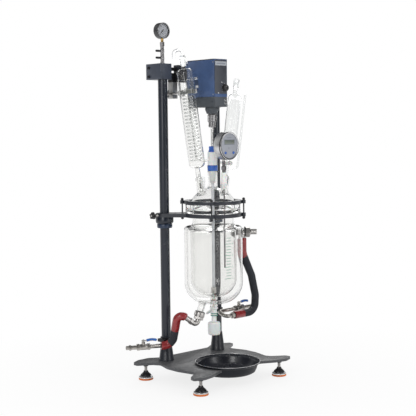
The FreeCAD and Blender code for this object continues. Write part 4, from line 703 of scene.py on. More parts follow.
black_oxide = finish(
    "black_oxide_steel", (0.022, 0.022, 0.025), 0.34, metallic=0.55, grain=0.5, depth=0.10, mottle=0.18,
    wear=0.5, wear_colour=(0.22, 0.22, 0.23),
)
polished_steel = finish(
    "polished_steel", (0.70, 0.70, 0.71), 0.17, metallic=1, depth=0.03, mottle=0.05, wear=0.2,
    wear_colour=(0.85, 0.85, 0.86), dust=0.03, streaks=(120, 120, 2600),
)
turned_steel = finish(
    "turned_steel", (0.50, 0.485, 0.47), 0.34, metallic=1, depth=0.10, wear=0.3,
    wear_colour=(0.74, 0.73, 0.72), dust=0.02, streaks=(90, 90, 2200),
)
satin_steel = finish(
    "satin_steel", (0.72, 0.72, 0.73), 0.34, metallic=1, depth=0.06, mottle=0.06, wear=0.2,
    wear_colour=(0.82, 0.82, 0.83), dust=0.02, streaks=(60, 60, 900),
)
orange_rubber = finish(
    "orange_rubber", (0.62, 0.16, 0.035), 0.62, grain=1.1, depth=0.3, mottle=0.15,
    wear_colour=(0.75, 0.33, 0.16), dust=0.25, specular=0.3,
)
lock_nuts = []
foot_spots = ((-207, -151), (207, -151), (-207, 172), (207, 172))
for number, (x, y) in enumerate(foot_spots, 1):
    spot = moved(x, y, 0)
    stud = [(0, 31.5), (5.5, 31.5)] + threaded(5.95, 33, 69, 1.75, 0.55) + [(5, 69.4), (0, 69.4)]
    pad = [
        (0, 7.1), (27.2, 7.1), (27.6, 7.8), (27.6, 10.6), (26.8, 11.8), (24.6, 13.4), (21.9, 14.6), (0, 14.8),
    ]
    cap = [
        (0, 14.9), (21.4, 14.9), (21.8, 15.6), (20.9, 18.2), (18.3, 21.2), (14.6, 24.6), (11.8, 27.4),
        (9.8, 28.6), (9.2, 32.6), (8.2, 34), (6.1, 34),
    ]
    sole = [(0, 0), (27.2, 0), (28.4, 1.1), (28.4, 5.8), (27.6, 7), (0, 7)]
    piece(
        f"levelling_foot_{number}_turned", f"levelling_foot_{number}",
        [
            turned(turned_steel, stud, spot, steps=32), turned(satin_steel, pad, spot, width=0.6),
            turned(black_oxide, cap, spot), turned(orange_rubber, sole, spot),
        ],
        node=f"levelling_foot_{number}",
    )
    lock_nuts.append(hexagon(black_oxide, 10, 52, 61.9, spot, bore=6.1))


# Columns and sockets. Two round steel tubes, powder coated like the plate, stand in turned
# conical sockets that are screwed to the plate from below.
column_coat = finish(
    "column_powder_coat", (0.013, 0.017, 0.026), 0.22, grain=0.5, depth=0.05, patch=60, mottle=0.05,
    wear=0.06, wear_colour=(0.10, 0.11, 0.13), dust=0.02,
)
column_x, column_y = 136, 130
column_radius = 18.2
columns = []
sockets = []
for x in (-column_x, column_x):
    spot = moved(x, column_y, 0)
    columns.append(turned(
        column_coat, [(0, 72.2), (column_radius, 72.2), (column_radius, 1214.8), (0, 1214.8)], spot, steps=72,
    ))
    sockets.append(sleeve(
        slate_coat,
        [(18.3, 72.1), (28.9, 72.1), (29.5, 72.8), (29.5, 76.4), (28.8, 77.6), (20.2, 144.6), (19.4, 146.7),
         (18.3, 147)],
        spot, steps=72,
    ))
piece("columns_coated", "stand", columns, node="columns")
piece("column_sockets_turned", "stand", sockets, node="column_sockets")


# Support ring. One plate, cut with a web and a boss to each column, bored for the vessel flange
# and drilled for the four tie rods.
tie_spots = [(119 * cos(radians(45 + 90 * k)), 119 * sin(radians(45 + 90 * k))) for k in range(4)]
ring_low, ring_high = 636, 650
ring_middle = (ring_low + ring_high) / 2
ring_radius, ring_boss = 111.7, 34.5
web_angle = atan2(column_y, column_x)
web_lean = asin((ring_radius * 0.5 - ring_boss) / hypot(column_x, column_y))
ring_arms = []
ring_bores = [disc(84, 630, 660)]
screw_bores = []
for side in (-1, 1):
    corners = []
    middle, boss = (ring_radius / 2, 0, 0), (ring_boss, column_x, column_y)
    for turn, (reach, x, y) in ((1, middle), (-1, middle), (-1, boss), (1, boss)):
        heading = web_angle + turn * (pi / 2 - web_lean)
        corners.append((side * (x + reach * cos(heading)), y + reach * sin(heading)))
    ring_arms.append(prism(corners, ring_low, ring_high))
    ring_arms.append(disc(ring_boss, ring_low, ring_high, side * column_x, column_y, 96))
    ring_bores.append(disc(18.3, 630, 660, side * column_x, column_y, 72))
    screw_way = aim((side * column_x, column_y, ring_middle), (side, 0, 0))
    screw_bores.append(disc(4.1, 17, 40, steps=32, place=screw_way))
ring_arms += [disc(8, ring_low, ring_high, x, y, 48) for x, y in tie_spots]
support_blank = disc(ring_radius, ring_low, ring_high, steps=160)
support = carved(support_blank, ring_arms, ring_bores + screw_bores, 0.9)
piece("support_ring_cut", "stand", [shape_of(support, slate_coat)], node="support_ring")


# Collars and star knobs. Under the ring a coated collar and a dark blue stop ring sit on each column;
# a black five-lobed knob on a steel stud screws into the boss of the ring and pinches the column.
stop_ring_coat = finish(
    "blue_black_stop_ring", (0.016, 0.030, 0.062), 0.34, depth=0.14, mottle=0.08,
    wear_colour=(0.07, 0.10, 0.16), dust=0.04,
)
collar_shapes = []
for x in (-column_x, column_x):
    spot = moved(x, column_y, 0)
    collar_shapes.append(sleeve(
        column_coat,
        [(18.3, 609.2), (27, 609.2), (29, 609.6), (33, 612.8), (34.4, 616.2), (34.5, 618), (34.5, 634.6),
         (34, 635.8), (18.3, 635.8)],
        spot,
    ))
    collar_shapes.append(sleeve(
        stop_ring_coat,
        [(18.3, 593), (27.6, 593), (29.2, 594.6), (29.5, 596), (29.5, 607.2), (28.8, 608.4), (18.3, 608.6)],
        spot,
    ))
piece("column_collars_turned", "stand", collar_shapes, node="column_collars")

knob_plastic = finish(
    "black_moulded_plastic", (0.016, 0.016, 0.018), 0.42, grain=0.6, depth=0.30, wear=0.35,
    wear_colour=(0.09, 0.09, 0.10), specular=0.45,
)


def lobed(material, count, outer, inner, low, high, place, power=1):
    """A knob with rounded lobes and a crowned top."""
    steps = count * 12
    points = []
    rows = (
        (0.90, low), (1, low + (high - low) * 0.14), (1, low + (high - low) * 0.72), (0.92, high - 0.8),
        (0.74, high),
    )
    for share, level in rows:
        for step in range(steps):
            turn = tau * step / steps
            wave = (0.5 + 0.5 * cos(turn * count)) ** power
            reach = (inner + (outer - inner) * wave) * share
            points.append(place @ round_spot(reach, turn, level))
    loops = wall_faces(0, len(rows), steps)
    loops.append(tuple(range(steps))[::-1])
    loops.append(tuple(range((len(rows) - 1) * steps, len(rows) * steps)))
    return points, loops, material


for side, name in ((-1, "left"), (1, "right")):
    spot = aim((side * column_x, column_y, ring_middle), (side, 0, 0))
    stud = [(0, 18.6), (3.4, 18.6)] + threaded(3.95, 20, 50, 1.25, 0.4) + [(3.4, 52), (0, 52)]
    hub = [(0, 47.6), (7, 47.6), (7.6, 48.4), (7.6, 52.4), (0, 52.4)]
    pip = [(0, 64.8), (4.2, 64.8), (4, 65.9), (0, 65.95)]
    piece(
        f"{name}_star_knob_moulded", f"{name}_star_knob",
        [
            turned(turned_steel, stud, spot, steps=24), turned(knob_plastic, hub, spot, steps=36),
            lobed(knob_plastic, 5, 14.4, 9.6, 52.2, 65.6, spot, 0.8),
            turned(turned_steel, pip, spot, steps=24),
        ],
        node=f"{name}_star_knob",
    )


# Lid clamp. A black ring with four lugs lies on the lid flange; four threaded rods with ball
# nuts on top and hexagon nuts below pull it down on the support ring.
clamp_lugs = [disc(8, 686, 699, x, y, 48) for x, y in tie_spots]
clamp = carved(disc(ring_radius, 686, 699, steps=160), clamp_lugs, [disc(92, 680, 705)], 0.9)
piece("clamp_ring_cut", "stand", [shape_of(clamp, slate_coat)], node="clamp_ring")
tie_shapes = []
for x, y in tie_spots:
    spot = moved(x, y, 0)
    rod = [(0, 625.4), (2.5, 625.4)] + threaded(2.95, 626.4, 704, 1, 0.35) + [(2.5, 705), (0, 705)]
    tie_shapes.append(turned(black_oxide, rod, spot, steps=24))
    tie_shapes.append(hexagon(black_oxide, 5.8, 627, 635, spot))
    tie_shapes.append(sleeve(black_oxide, [(3.1, 634.9), (5.7, 634.9), (5.7, 635.9), (3.1, 635.9)], spot))
    ball = [(3.2, 699.2), (5, 699.2), (5.3, 700.2)]
    ball += [(5.75 * cos(a), 703.6 + 5.2 * sin(a)) for a in [radians(t) for t in range(-25, 91, 12)]]
    ball[-1] = (0, 708.8)
    tie_shapes.append(turned(knob_plastic, [(0, 699.2)] + ball[1:], spot, steps=36))
piece("tie_rods_with_nuts", "stand", tie_shapes, node="tie_rods")


# Jacketed vessel. One piece of clear borosilicate glass: a round-bottomed pot fused inside a
# jacket, a ground flange on top, two ports at the side, an inlet and a drain tube below.
def curved(profile, steps=14):
    """Replaces each (radius, level, "arc") by a circle arc through it and its two neighbours."""
    line = []
    for number, spot in enumerate(profile):
        if len(spot) == 2:
            line.append(spot)
            continue
        start = Vector(profile[number - 1][:2])
        middle = Vector(spot[:2])
        end = Vector(profile[(number + 1) % len(profile)][:2])
        a = middle - start
        b = end - start
        cross = 2 * (a.x * b.y - a.y * b.x)
        centre = (
            start
            + Vector((
                (b.y * a.length_squared - a.y * b.length_squared) / cross,
                (a.x * b.length_squared - b.x * a.length_squared) / cross,
            ))
        )
        first = start - centre
        sweep = first.angle_signed(middle - centre) + (middle - centre).angle_signed(end - centre)
        for step in range(1, steps):
            line.append(tuple(centre + Matrix.Rotation(-sweep * step / steps, 2) @ first))
    return line


def swept(material, path, radius, steps=20, bore=0, width=None):
    """A round bar or pipe along a line of points; width(share, turn) scales it on its way."""
    spots = [Vector(spot) for spot in path]
    points = []
    loops = []
    ways = []
    for number in range(len(spots)):
        before = spots[max(0, number - 1)]
        after = spots[min(len(spots) - 1, number + 1)]
        ways.append((after - before).normalized())
    side = ways[0].orthogonal().normalized()
    frames = []
    for number, way in enumerate(ways):
        if number:
            side = (ways[number - 1].rotation_difference(way) @ side).normalized()
        frames.append((side.copy(), way.cross(side).normalized()))
    lengths = [0]
    for before, after in zip(spots, spots[1:]):
        lengths.append(lengths[-1] + (after - before).length)

    def wall(reach, inward):
        first = len(points)
        for number, spot in enumerate(spots):
            share = lengths[number] / lengths[-1]
            across, up = frames[number]
            for step in range(steps):
                turn = tau * step / steps
                grown = reach * (width(share, turn) if width else 1)
                points.append(spot + (across * cos(turn) + up * sin(turn)) * grown)
        faces = wall_faces(first, len(spots), steps)
        loops.extend(loop[::-1] if inward else loop for loop in faces)
        return first

    outer = wall(radius, False)
    last = (len(spots) - 1) * steps
    if bore:
        inner = wall(bore, True)
        for step in range(steps):
            after = (step + 1) % steps
            loops.append((outer + step, inner + step, inner + after, outer + after))
            loops.append((
                outer + last + after, inner + last + after, inner + last + step, outer + last + step,
            ))
    else:
        loops.append(tuple(range(outer, outer + steps))[::-1])
        loops.append(tuple(range(outer + last, outer + last + steps)))
    return points, loops, material


def rounded_run(points, bends, step=5):
    """A line of points along straight runs and tangent arcs, as the part's own tubes are laid."""
    spots = [Vector(point) for point in points]
    line = [spots[0]]
    for number in range(1, len(spots) - 1):
        corner = spots[number]
        back = (spots[number - 1] - corner).normalized()
        ahead = (spots[number + 1] - corner).normalized()
        half = back.angle(ahead) / 2
        reach = bends[number - 1] / tan(half)
        centre = corner + (back + ahead).normalized() * (bends[number - 1] / sin(half))
        first = corner + back * reach - centre
        sweep = pi - 2 * half
        axis = first.cross(corner + ahead * reach - centre).normalized()
        count = max(4, int(sweep * bends[number - 1] / step))
        for tick in range(count + 1):
            line.append(centre + Quaternion(axis, sweep * tick / count) @ first)
    line.append(spots[-1])
    clean = [line[0]]
    for spot in line[1:]:
        gap = (spot - clean[-1]).length
        if gap < 0.05:
            continue
        count = max(1, int(gap / (step * 2)))
        clean += [clean[-1].lerp(spot, tick / count) for tick in range(1, count + 1)]
    return clean


def clear_glass(
    name, edge_tint_and_shade_colour, clear_colour=(0.975, 0.985, 0.98), roughness=0, waves=0.05, frost=0, reach=0.62,
):
    """Clear glass whose edges, where the sight line runs along the wall, are painted darker: partly the
    glass's own tint, partly painted shade for dark edge lines.
    """
    made = bpy.data.materials.new(name)
    made.use_nodes = True
    tree = made.node_tree
    surface = tree.nodes["Principled BSDF"]
    for socket, value in (("Transmission Weight", 1), ("IOR", 1.29), ("Metallic", 0)):
        surface.inputs[socket].default_value = value
    # Painted shade: where the wall is seen edge-on, the tint is pulled towards the edge colour, which is
    # partly the glass's own tint and partly painted shade.
    rim = add(tree, "ShaderNodeLayerWeight", Blend=0.5)
    edge = ramp(tree, rim.outputs["Facing"], (reach, 0), (0.98, 1))
    texture = place_group(tree, grain_group, Grain_Size=26 if not frost else 0.7, Patch_Size=60)
    tint = blended(tree, edge, clear_colour, edge_tint_and_shade_colour)
    smear = ramp(tree, texture.outputs["Tone"], (0.45, 0), (0.75, 0.06 + frost * 0.5))
    tree.links.new(blended(tree, smear, tint, shaded(clear_colour, 0.93)), surface.inputs["Base Color"])
    rough = sums(tree, "MULTIPLY_ADD", texture.outputs["Tone"], 0.03 + frost * 0.2, roughness + frost * 0.25)
    tree.links.new(rough, surface.inputs["Roughness"])
    bumped(tree, surface, texture.outputs["Height"], waves, 0.001)
    rays = add(tree, "ShaderNodeLightPath")
    lets_light = sums(tree, "MAXIMUM", rays.outputs["Is Shadow Ray"], rays.outputs["Is Diffuse Ray"])
    clear = add(tree, "ShaderNodeBsdfTransparent", Color=(0.93, 0.94, 0.935, 1))
    look = mixed(tree, lets_light, surface.outputs[0], clear.outputs[0])
    tree.links.new(look, tree.nodes["Material Output"].inputs["Surface"])
    return made


# The first colour of each glass is its edge colour: the glass's own tint together with painted edge shade.
vessel_clear = clear_glass("borosilicate_glass", (0.66, 0.67, 0.675), (0.955, 0.955, 0.948))
ground_joint = clear_glass("ground_glass", (0.80, 0.82, 0.81), (0.93, 0.94, 0.935), 0.12, 0.25, frost=1)
vessel_outside = [
    (13.5, 280.3), (14.6, 281.2), (15.2, 283.2), (14.2, 285.4), (13.5, 287), (13.5, 298), (84, 317, "arc"),
    (113.5, 375), (113.5, 470), (113.5, 582), (113.2, 586.5), (112.3, 590.4), (110.4, 593.8), (107.4, 596.4),
    (103.8, 597.9), (99.5, 598.7), (92, 600), (86.5, 601.6), (83, 604.2), (81.6, 608.5), (81.5, 612),
    (81.5, 645), (82.3, 648.6), (84.2, 650.2), (88, 650.2), (104.8, 650.3), (106.1, 651.4), (106.4, 653.2),
    (106.4, 664), (105.9, 666), (104.6, 666.9), (79, 666.9), (77.4, 666), (77, 664), (77, 612), (77.3, 606),
    (79, 600), (82.2, 590), (84.2, 584), (84.5, 579), (84.5, 385), (60.5, 343, "arc"), (9, 325.5), (9, 280.3),
]
jacket_space = [
    (13.5, 303), (80, 320.5, "arc"), (109.5, 377), (109.5, 470), (109.5, 584), (108.8, 588), (106.5, 591.4),
    (103, 593.4), (98, 593.8), (94.5, 592.6), (92.2, 588), (89.6, 583), (89, 578), (89, 385),
    (62.3, 338, "arc"), (13.5, 321),
]
port_level = 574
port_shapes = []
for heading in (-40, 0):
    way = (cos(radians(heading)), sin(radians(heading)), 0)
    spot = aim((0, 0, port_level), way)
    port_shapes.append(sleeve(
        vessel_clear,
        [(10, 112.9), (15.4, 112.9), (14.5, 113.9), (14, 115.2), (14, 119.6), (13.4, 120.9), (10.6, 120.9),
         (10, 120.3)],
        spot, steps=48,
    ))
inlet_way = Vector((-sin(radians(21)), 0, -cos(radians(21))))
inlet_spot = aim((-48, 0, 334), inlet_way)
port_shapes.append(sleeve(
    vessel_clear,
    [(10, 28), (15.5, 27), (16, 31), (14.4, 36), (13.2, 40), (12.4, 46), (13.2, 50), (14, 54), (14, 64),
     (13.4, 65.8), (10.6, 65.8), (10, 65)],
    inlet_spot, steps=48,
))
piece(
    "vessel_glass_blown", "stand",
    [
        sleeve(vessel_clear, curved(vessel_outside, 20), steps=160),
        sleeve(vessel_clear, curved(jacket_space, 20)[::-1], steps=160),
    ]
    + port_shapes,
    node="vessel_glass", smooth=60,
)

# Scale fired on the front of the pot in green enamel: a long mark at each litre, three short
# marks between, and the litres in plain numbers.
scale_enamel = finish(
    "green_glass_enamel", (0.02, 0.30, 0.16), 0.35, grain=0.5, depth=0.2, mottle=0.2, wear=0, dust=0,
)


def decal_band(points, faces, low_turn, high_turn, low, high, radius, thick=0.25):
    """A thin curved bar on a cylinder, between two headings in degrees and two levels."""
    steps = max(2, int((high_turn - low_turn) / 2))
    first = len(points)
    for step in range(steps + 1):
        turn = radians(low_turn + (high_turn - low_turn) * step / steps)
        for reach, level in ((radius, low), (radius + thick, low), (radius + thick, high), (radius, high)):
            points.append(round_spot(reach, turn, level))
    for step in range(steps):
        a = first + step * 4
        for side in range(4):
            after = (side + 1) % 4
            faces.append((a + side, a + 4 + side, a + 4 + after, a + after))
    faces.append((first, first + 1, first + 2, first + 3))
    last = first + steps * 4
    faces.append((last + 3, last + 2, last + 1, last))


litre_step = 44.6
scale_points = []
scale_faces = []
for mark in range(15):
    level = 402 + mark * litre_step / 4
    long = mark % 4 == 0
    low_turn = -104 if long else -99
    decal_band(scale_points, scale_faces, low_turn, -84, level - 0.9, level + 0.9, 89.12)
numbers = []
for litres in range(1, 5):
    word = bpy.data.curves.new("litres", "FONT")
    word.body = str(litres)
    word.size = 11
    word.extrude = 0.12
    word.align_x = "CENTER"
    sign = bpy.data.objects.new("litres", word)
    mesh = bpy.data.meshes.new_from_object(sign)
    spots = []
    for vert in mesh.vertices:
        turn = radians(-77) + vert.co.x / 89.2
        spots.append(round_spot(89.28 + vert.co.z, turn, 398 + (litres - 1) * litre_step + vert.co.y))
    numbers.append((spots, [tuple(face.vertices) for face in mesh.polygons], scale_enamel))
    bpy.data.objects.remove(sign)
    bpy.data.curves.remove(word)
    bpy.data.meshes.remove(mesh)
piece("vessel_scale", "stand", [(scale_points, scale_faces, scale_enamel)] + numbers)


# Lid. Domed borosilicate glass with a ground flange, a wide centre neck for the stirrer seal and
# four ground side necks; a thin white PTFE gasket lies between the two flanges.
ptfe_white = finish(
    "white_ptfe", (0.80, 0.80, 0.79), 0.42, grain=0.9, patch=25, mottle=0.035, wear=0.15,
    wear_colour=(0.9, 0.9, 0.9), soft=0.25,
)
piece(
    "flange_gasket_ptfe", "stand",
    [sleeve(
        ptfe_white, [(83.2, 667.1), (106.2, 667.1), (106.4, 668), (106.2, 668.9), (83.2, 668.9)], steps=128,
    )],
    node="flange_gasket",
)
dome_middle = 656.04


def dome(start, end, ball):
    """An arc of a ball round the dome's middle, between two distances from the axis."""
    reaches = [start + (end - start) * step / 24 for step in range(25)]
    return [(reach, dome_middle + sqrt(ball ** 2 - reach ** 2)) for reach in reaches]


lid_line = (
    [(81.7, 669.1), (104.8, 669.1), (106.1, 669.9), (106.4, 671.6), (106.4, 682.6), (105.8, 684.9),
     (104, 685.9), (93, 686), (90, 686.6), (88.2, 688.2)]
    + dome(84.5, 21.5, 92.96)
    + [
        (19.8, 748.6), (18.8, 750.4), (18.5, 754), (18.5, 803.5), (18.9, 806), (19.2, 809), (18.8, 811.4),
        (17.6, 811.95), (16.4, 811.6), (15.9, 810.8), (10.7, 766), (10.6, 762), (10.6, 747),
    ]
    + dome(10.6, 81, 87.96)
    + [(81.7, 686)]
)
lid_shapes = [sleeve(vessel_clear, lid_line, steps=160)]
neck_reach, neck_level, neck_lean = 64, 741, 9.2
side_necks = (
    (-neck_reach, 0, -neck_lean, 43), (neck_reach, 0, neck_lean, 43), (0, -neck_reach, 0, 20),
    (0, neck_reach, 0, 30),
)
for x, y, lean, length in side_necks:
    spot = moved(x, y, neck_level) @ tilted(lean, "Y")
    lid_shapes.append(sleeve(
        vessel_clear,
        [(9.6, -23), (18.6, -19.5), (15.6, -14), (14, -8), (13.5, -2), (13.5, length - 5.5),
         (14.2, length - 4), (14.4, length - 2), (14, length - 0.4), (12.8, length), (11.4, length - 0.3),
         (11.15, length - 1.2), (9.65, 0), (9.6, -6)],
        spot, steps=56,
    ))
piece("lid_glass_blown", "stand", lid_shapes, node="lid_glass", smooth=60)


# Stirrer seal. A white PTFE body sits with its taper in the centre neck, held by a blue clamp
# ring under it and closed by a ribbed blue cap round the shaft.
blue_moulding = finish(
    "blue_moulded_plastic", (0.020, 0.105, 0.44), 0.30, mottle=0.10, wear=0.3, wear_colour=(0.10, 0.26, 0.62),
    dust=0.04, coat=0.2,
)
piece(
    "seal_body_ptfe", "stand",
    [sleeve(
        ptfe_white,
        [(4.6, 766.1), (10.3, 766.2), (10.6, 766.8), (15.6, 811.5), (15.7, 812.5), (15.7, 833.8), (18, 834.1),
         (18.5, 834.8), (18.5, 846.6), (18, 847.2), (18, 848.6), (18.5, 849.2), (18.5, 883.6), (17.6, 884.8),
         (15.9, 885), (4.6, 885)],
        steps=72,
    )],
    node="seal_body",
)


def ribbed(material, inner, outer, low, high, count, place, depth=0.7):
    """A grip ring with upright ribs round it."""
    steps = count * 4
    points = []
    ease = min(1.2, (high - low) * 0.15)
    rows = [
        (inner, low), (outer - ease, low), (outer, low + ease), (outer, high - ease), (outer - ease, high),
        (inner, high),
    ]
    for number, (radius, level) in enumerate(rows):
        for step in range(steps):
            groove = depth if step % 4 in (0, 1) and number in (2, 3) else 0
            points.append(place @ round_spot(radius - groove, tau * step / steps, level))
    return points, wall_faces(0, len(rows), steps, closed=True), material


piece(
    "seal_rings_moulded", "stand",
    [
        sleeve(
            blue_moulding,
            [(16, 812.4), (18.8, 812.4), (19.4, 813), (20.2, 829), (20.2, 832.6), (19.4, 833.6), (16, 833.8)],
            steps=72,
        ),
        ribbed(blue_moulding, 4.7, 15.4, 885.1, 891, 30, Matrix(), 0.5),
        ribbed(blue_moulding, 4.7, 13.5, 890.8, 906.8, 26, Matrix(), 0.6),
    ],
    node="seal_rings",
)


# Top blocks and cross rods. A milled steel block caps each column; two black rods join them and
# carry the motor bracket and the condenser clamp, held by socket screws in the block faces.
def block(material, low, high, width=1, place=None, segments=2):
    """A milled block between two corners, its edges broken."""
    form = bmesh.new()
    bmesh.ops.create_cube(form, size=1)
    for vert in form.verts:
        vert.co = Vector(((low[k] + high[k]) / 2 + vert.co[k] * (high[k] - low[k]) for k in range(3)))
    softened(form, width, segments=segments)
    return shape_of(placed(form, place or Matrix()), material)


def socket_screw(material, radius, height, place):
    """A socket head screw whose head stands up along the frame's Z, with its hexagon recess."""
    form = bmesh.new()
    line = ((radius, 0), (radius, height - 0.6), (radius - 0.5, height))
    rings = [round_row(form, reach, level, 24) for reach, level in line]
    for under, over in zip(rings, rings[1:]):
        band(form, under, over)
    form.faces.new(rings[0][::-1])
    mouth = round_row(form, radius * 0.58, height, 6)
    deep = [form.verts.new((vert.co.x, vert.co.y, height * 0.35)) for vert in mouth]
    edges = [form.edges.get((rings[-1][k], rings[-1][(k + 1) % 24])) for k in range(24)]
    edges += [form.edges.new((mouth[k], mouth[(k + 1) % 6])) for k in range(6)]
    bmesh.ops.triangle_fill(form, use_beauty=True, edges=edges)
    band(form, mouth, deep)
    form.faces.new(deep)
    bmesh.ops.recalc_face_normals(form, faces=form.faces)
    return shape_of(placed(form, place), material)


rod_y, rod_levels = 178, (1176, 1210)
rod_bore = 7.15
top_shapes = []
rod_shapes = []
for x in (-column_x, column_x):
    top_shapes.append(block(block_coat, (x - 28, 109, 1165), (x + 28, 196, 1225), 1.2))
for level in rod_levels:
    rod_shapes.append(turned(
        black_oxide, [(0, -163.8), (7, -163.8), (7, 163.8), (0, 163.8)], aim((0, rod_y, level), (1, 0, 0)),
        steps=48,
    ))
    for side in (-1, 1):
        lock_nuts.append(socket_screw(black_oxide, 5.5, 4.9, aim((side * 164.1, rod_y, level), (side, 0, 0))))
piece("top_blocks_milled", "stand", top_shapes, node="top_blocks")
piece("cross_rods_turned", "stand", rod_shapes, node="cross_rods")
piece("stand_screws_and_nuts", "stand", lock_nuts, node="stand_fasteners")


# Stirrer motor. A blue painted steel case over a dark grey cast gear case with a turned nose; a
# dark front panel carries the speed knob, and a steel bracket hangs it on the cross rods.
motor_blue = finish(
    "blue_case_paint", (0.046, 0.086, 0.195), 0.36, grain=1, depth=0.22, patch=70, mottle=0.10, wear=0.35,
    wear_colour=(0.12, 0.20, 0.38), dust=0.05, coat=0.1,
)
gear_grey = finish(
    "grey_cast_paint", (0.064, 0.073, 0.085), 0.50, grain=1.2, depth=0.35, patch=50, mottle=0.10, wear=0.35,
    wear_colour=(0.22, 0.22, 0.23), dust=0.05,
)
panel_grey = finish(
    "panel_foil_grey", (0.050, 0.055, 0.068), 0.42, grain=0.5, depth=0.10, patch=30, mottle=0.06,
    wear_colour=(0.2, 0.2, 0.21), dust=0.03,
)
pale_strip = finish(
    "pale_panel_strip", (0.36, 0.385, 0.42), 0.44, grain=0.5, depth=0.08, mottle=0.05, wear=0.2,
    wear_colour=(0.62, 0.64, 0.67), dust=0.03,
)
panel_print = finish("grey_panel_print", (0.22, 0.24, 0.28), 0.45, grain=0.5, depth=0.05, wear=0, dust=0)
case_plan = (-34, -50, 34, 102)
housing = carved(bar(*case_plan, 1095.2, 1235), added=[bar(-33, -51.5, 33, -40, 1228, 1236.5)], width=2.2)
motor_shapes = [
    shape_of(housing, motor_blue), block(black_oxide, (-34, -50.4, 1233.6), (34, 102, 1237.9), 1.2),
]
for k in range(7):
    motor_shapes.append(block(knob_plastic, (-34.35, 40 + 7 * k, 1122), (34.35, 43.2 + 7 * k, 1162), 0.3))
for y, z in ((-44, 1226), (94, 1226), (-44, 1104), (94, 1104)):
    for side in (-1, 1):
        motor_shapes.append(socket_screw(turned_steel, 2.6, 1, aim((side * 33.6, y, z), (side, 0, 0))))
piece("motor_housing_painted", "stand", motor_shapes, node="motor_housing")

gear = carved(bar(*case_plan, 1057, 1094.8), width=2.4)
gear_shapes = [
    shape_of(gear, gear_grey),
    sleeve(
        gear_grey,
        [(8.3, 1031.2), (19, 1031.2), (20.6, 1032), (26, 1046), (26.5, 1048.5), (26.5, 1052), (25.6, 1052.8),
         (25.6, 1054), (27.6, 1054.8), (27.6, 1057.4), (8.3, 1057.4)],
        steps=80,
    ),
]
for turn in range(4):
    angle = radians(45 + 90 * turn)
    gear_shapes.append(socket_screw(
        black_oxide, 2.4, 2, aim((31 * cos(angle) * 0.98, 31 * sin(angle), 1057.1), (0, 0, -1)),
    ))
for y in (-38, 88):
    for side in (-1, 1):
        gear_shapes.append(socket_screw(black_oxide, 3, 1.2, aim((side * 33.4, y, 1076), (side, 0, 0))))
piece("motor_gear_case_cast", "stand", gear_shapes, node="motor_gearbox")

panel_face = (-31, -52.5, 31, -50.05)
dial_x, dial_z = 18, 1129
panel = carved(
    bar(*panel_face, 1106.5, 1234),
    taken=[disc(
        3.3, -60, -40, place=moved(dial_x, 0, dial_z) @ tilted(90, "X") @ moved(0, 0, 100), steps=32,
    )],
    width=0.6,
)
lower_panel = carved(bar(*panel_face, 1061, 1094.4), width=0.6)
middle_panel = carved(bar(*panel_face, 1094.5, 1106.4), width=0.4)
panel_shapes = [
    shape_of(panel, panel_grey), shape_of(middle_panel, motor_blue), shape_of(lower_panel, gear_grey),
]
panel_shapes.append(block(pale_strip, (-28.5, -52.9, 1213), (28.5, -52.3, 1228.5), 0.2))
panel_shapes.append(block(panel_print, (-23.5, -53, 1218.2), (23.5, -52.7, 1223), 0.1))
dial_white_print = finish(
    "white_panel_print", (0.72, 0.73, 0.74), 0.45, grain=0.5, depth=0.05, mottle=0.03, wear=0, dust=0.02,
)
for mark in range(11):
    spot = moved(dial_x, -52.75, dial_z) @ tilted(27 * mark - 225, "Y")
    long = 3.2 if mark % 5 == 0 else 2.2
    panel_shapes.append(block(dial_white_print, (15.6, 0, -0.35), (15.6 + long, 0.35, 0.35), 0.08, spot))
for x, z, radius in ((-14, 1109, 2), (4, 1150, 1.5)):
    panel_shapes.append(turned(
        dial_white_print, [(0, 0), (radius, 0), (radius, 0.8), (radius * 0.6, 1.2), (0, 1.3)],
        aim((x, panel_face[1], z), (0, -1, 0)), steps=24,
    ))
for z in (1084, 1072):
    panel_shapes.append(sleeve(
        polished_steel, [(3, 0), (5.2, 0), (5.4, 0.6), (5, 1.6), (3.4, 1.8), (3, 0.8)],
        aim((22, panel_face[1], z), (0, -1, 0)), steps=36,
    ))
    panel_shapes.append(turned(
        knob_plastic, [(0, 0), (3.1, 0), (3.1, 0.5), (0, 0.6)], aim((22, panel_face[1], z), (0, -1, 0)),
        steps=24,
    ))
piece("motor_panel_printed", "stand", panel_shapes, node="motor_panel")

knob_spot = aim((dial_x, -50, dial_z), (0, -1, 0))
knob_shapes = [
    turned(turned_steel, [(0, 0.3), (2.9, 0.3), (2.9, 4), (0, 4)], knob_spot, steps=24),
    sleeve(knob_plastic, [(2, 2.9), (13.4, 2.9), (14, 3.4), (14, 5.2), (13.2, 6), (2, 6)], knob_spot),
    ribbed(knob_plastic, 2, 12.6, 5.8, 14.6, 28, knob_spot, 0.6),
    turned(knob_plastic, [(0, 14.4), (9.6, 14.4), (9.9, 15), (9.6, 15.9), (8.8, 16.3), (0, 16.4)], knob_spot),
    block(dial_white_print, (-0.5, 4, 16.2), (0.5, 9.4, 16.6), 0.1, knob_spot),
]
piece("speed_knob_ribbed", "speed_knob", knob_shapes, node="speed_knob")

rod_bores = [
    disc(rod_bore, -40, 40, place=moved(0, rod_y, level) @ tilted(90, "Y"), steps=48)
    for level in rod_levels
]
bracket_block = carved(bar(-30, 162, 30, 190, 1160, 1226), taken=rod_bores, width=1)
piece(
    "motor_bracket_milled", "stand",
    [
        block(slate_coat, (-30, 102.1, 1125), (30, 112, 1228), 1),
        block(slate_coat, (-15, 111, 1165), (15, 163, 1215), 1), shape_of(bracket_block, slate_coat),
        socket_screw(black_oxide, 4, 3.8, aim((-16, 190, 1193), (0, 1, 0))),
        socket_screw(black_oxide, 4, 3.8, aim((16, 190, 1193), (0, 1, 0))),
    ],
    node="motor_bracket",
)


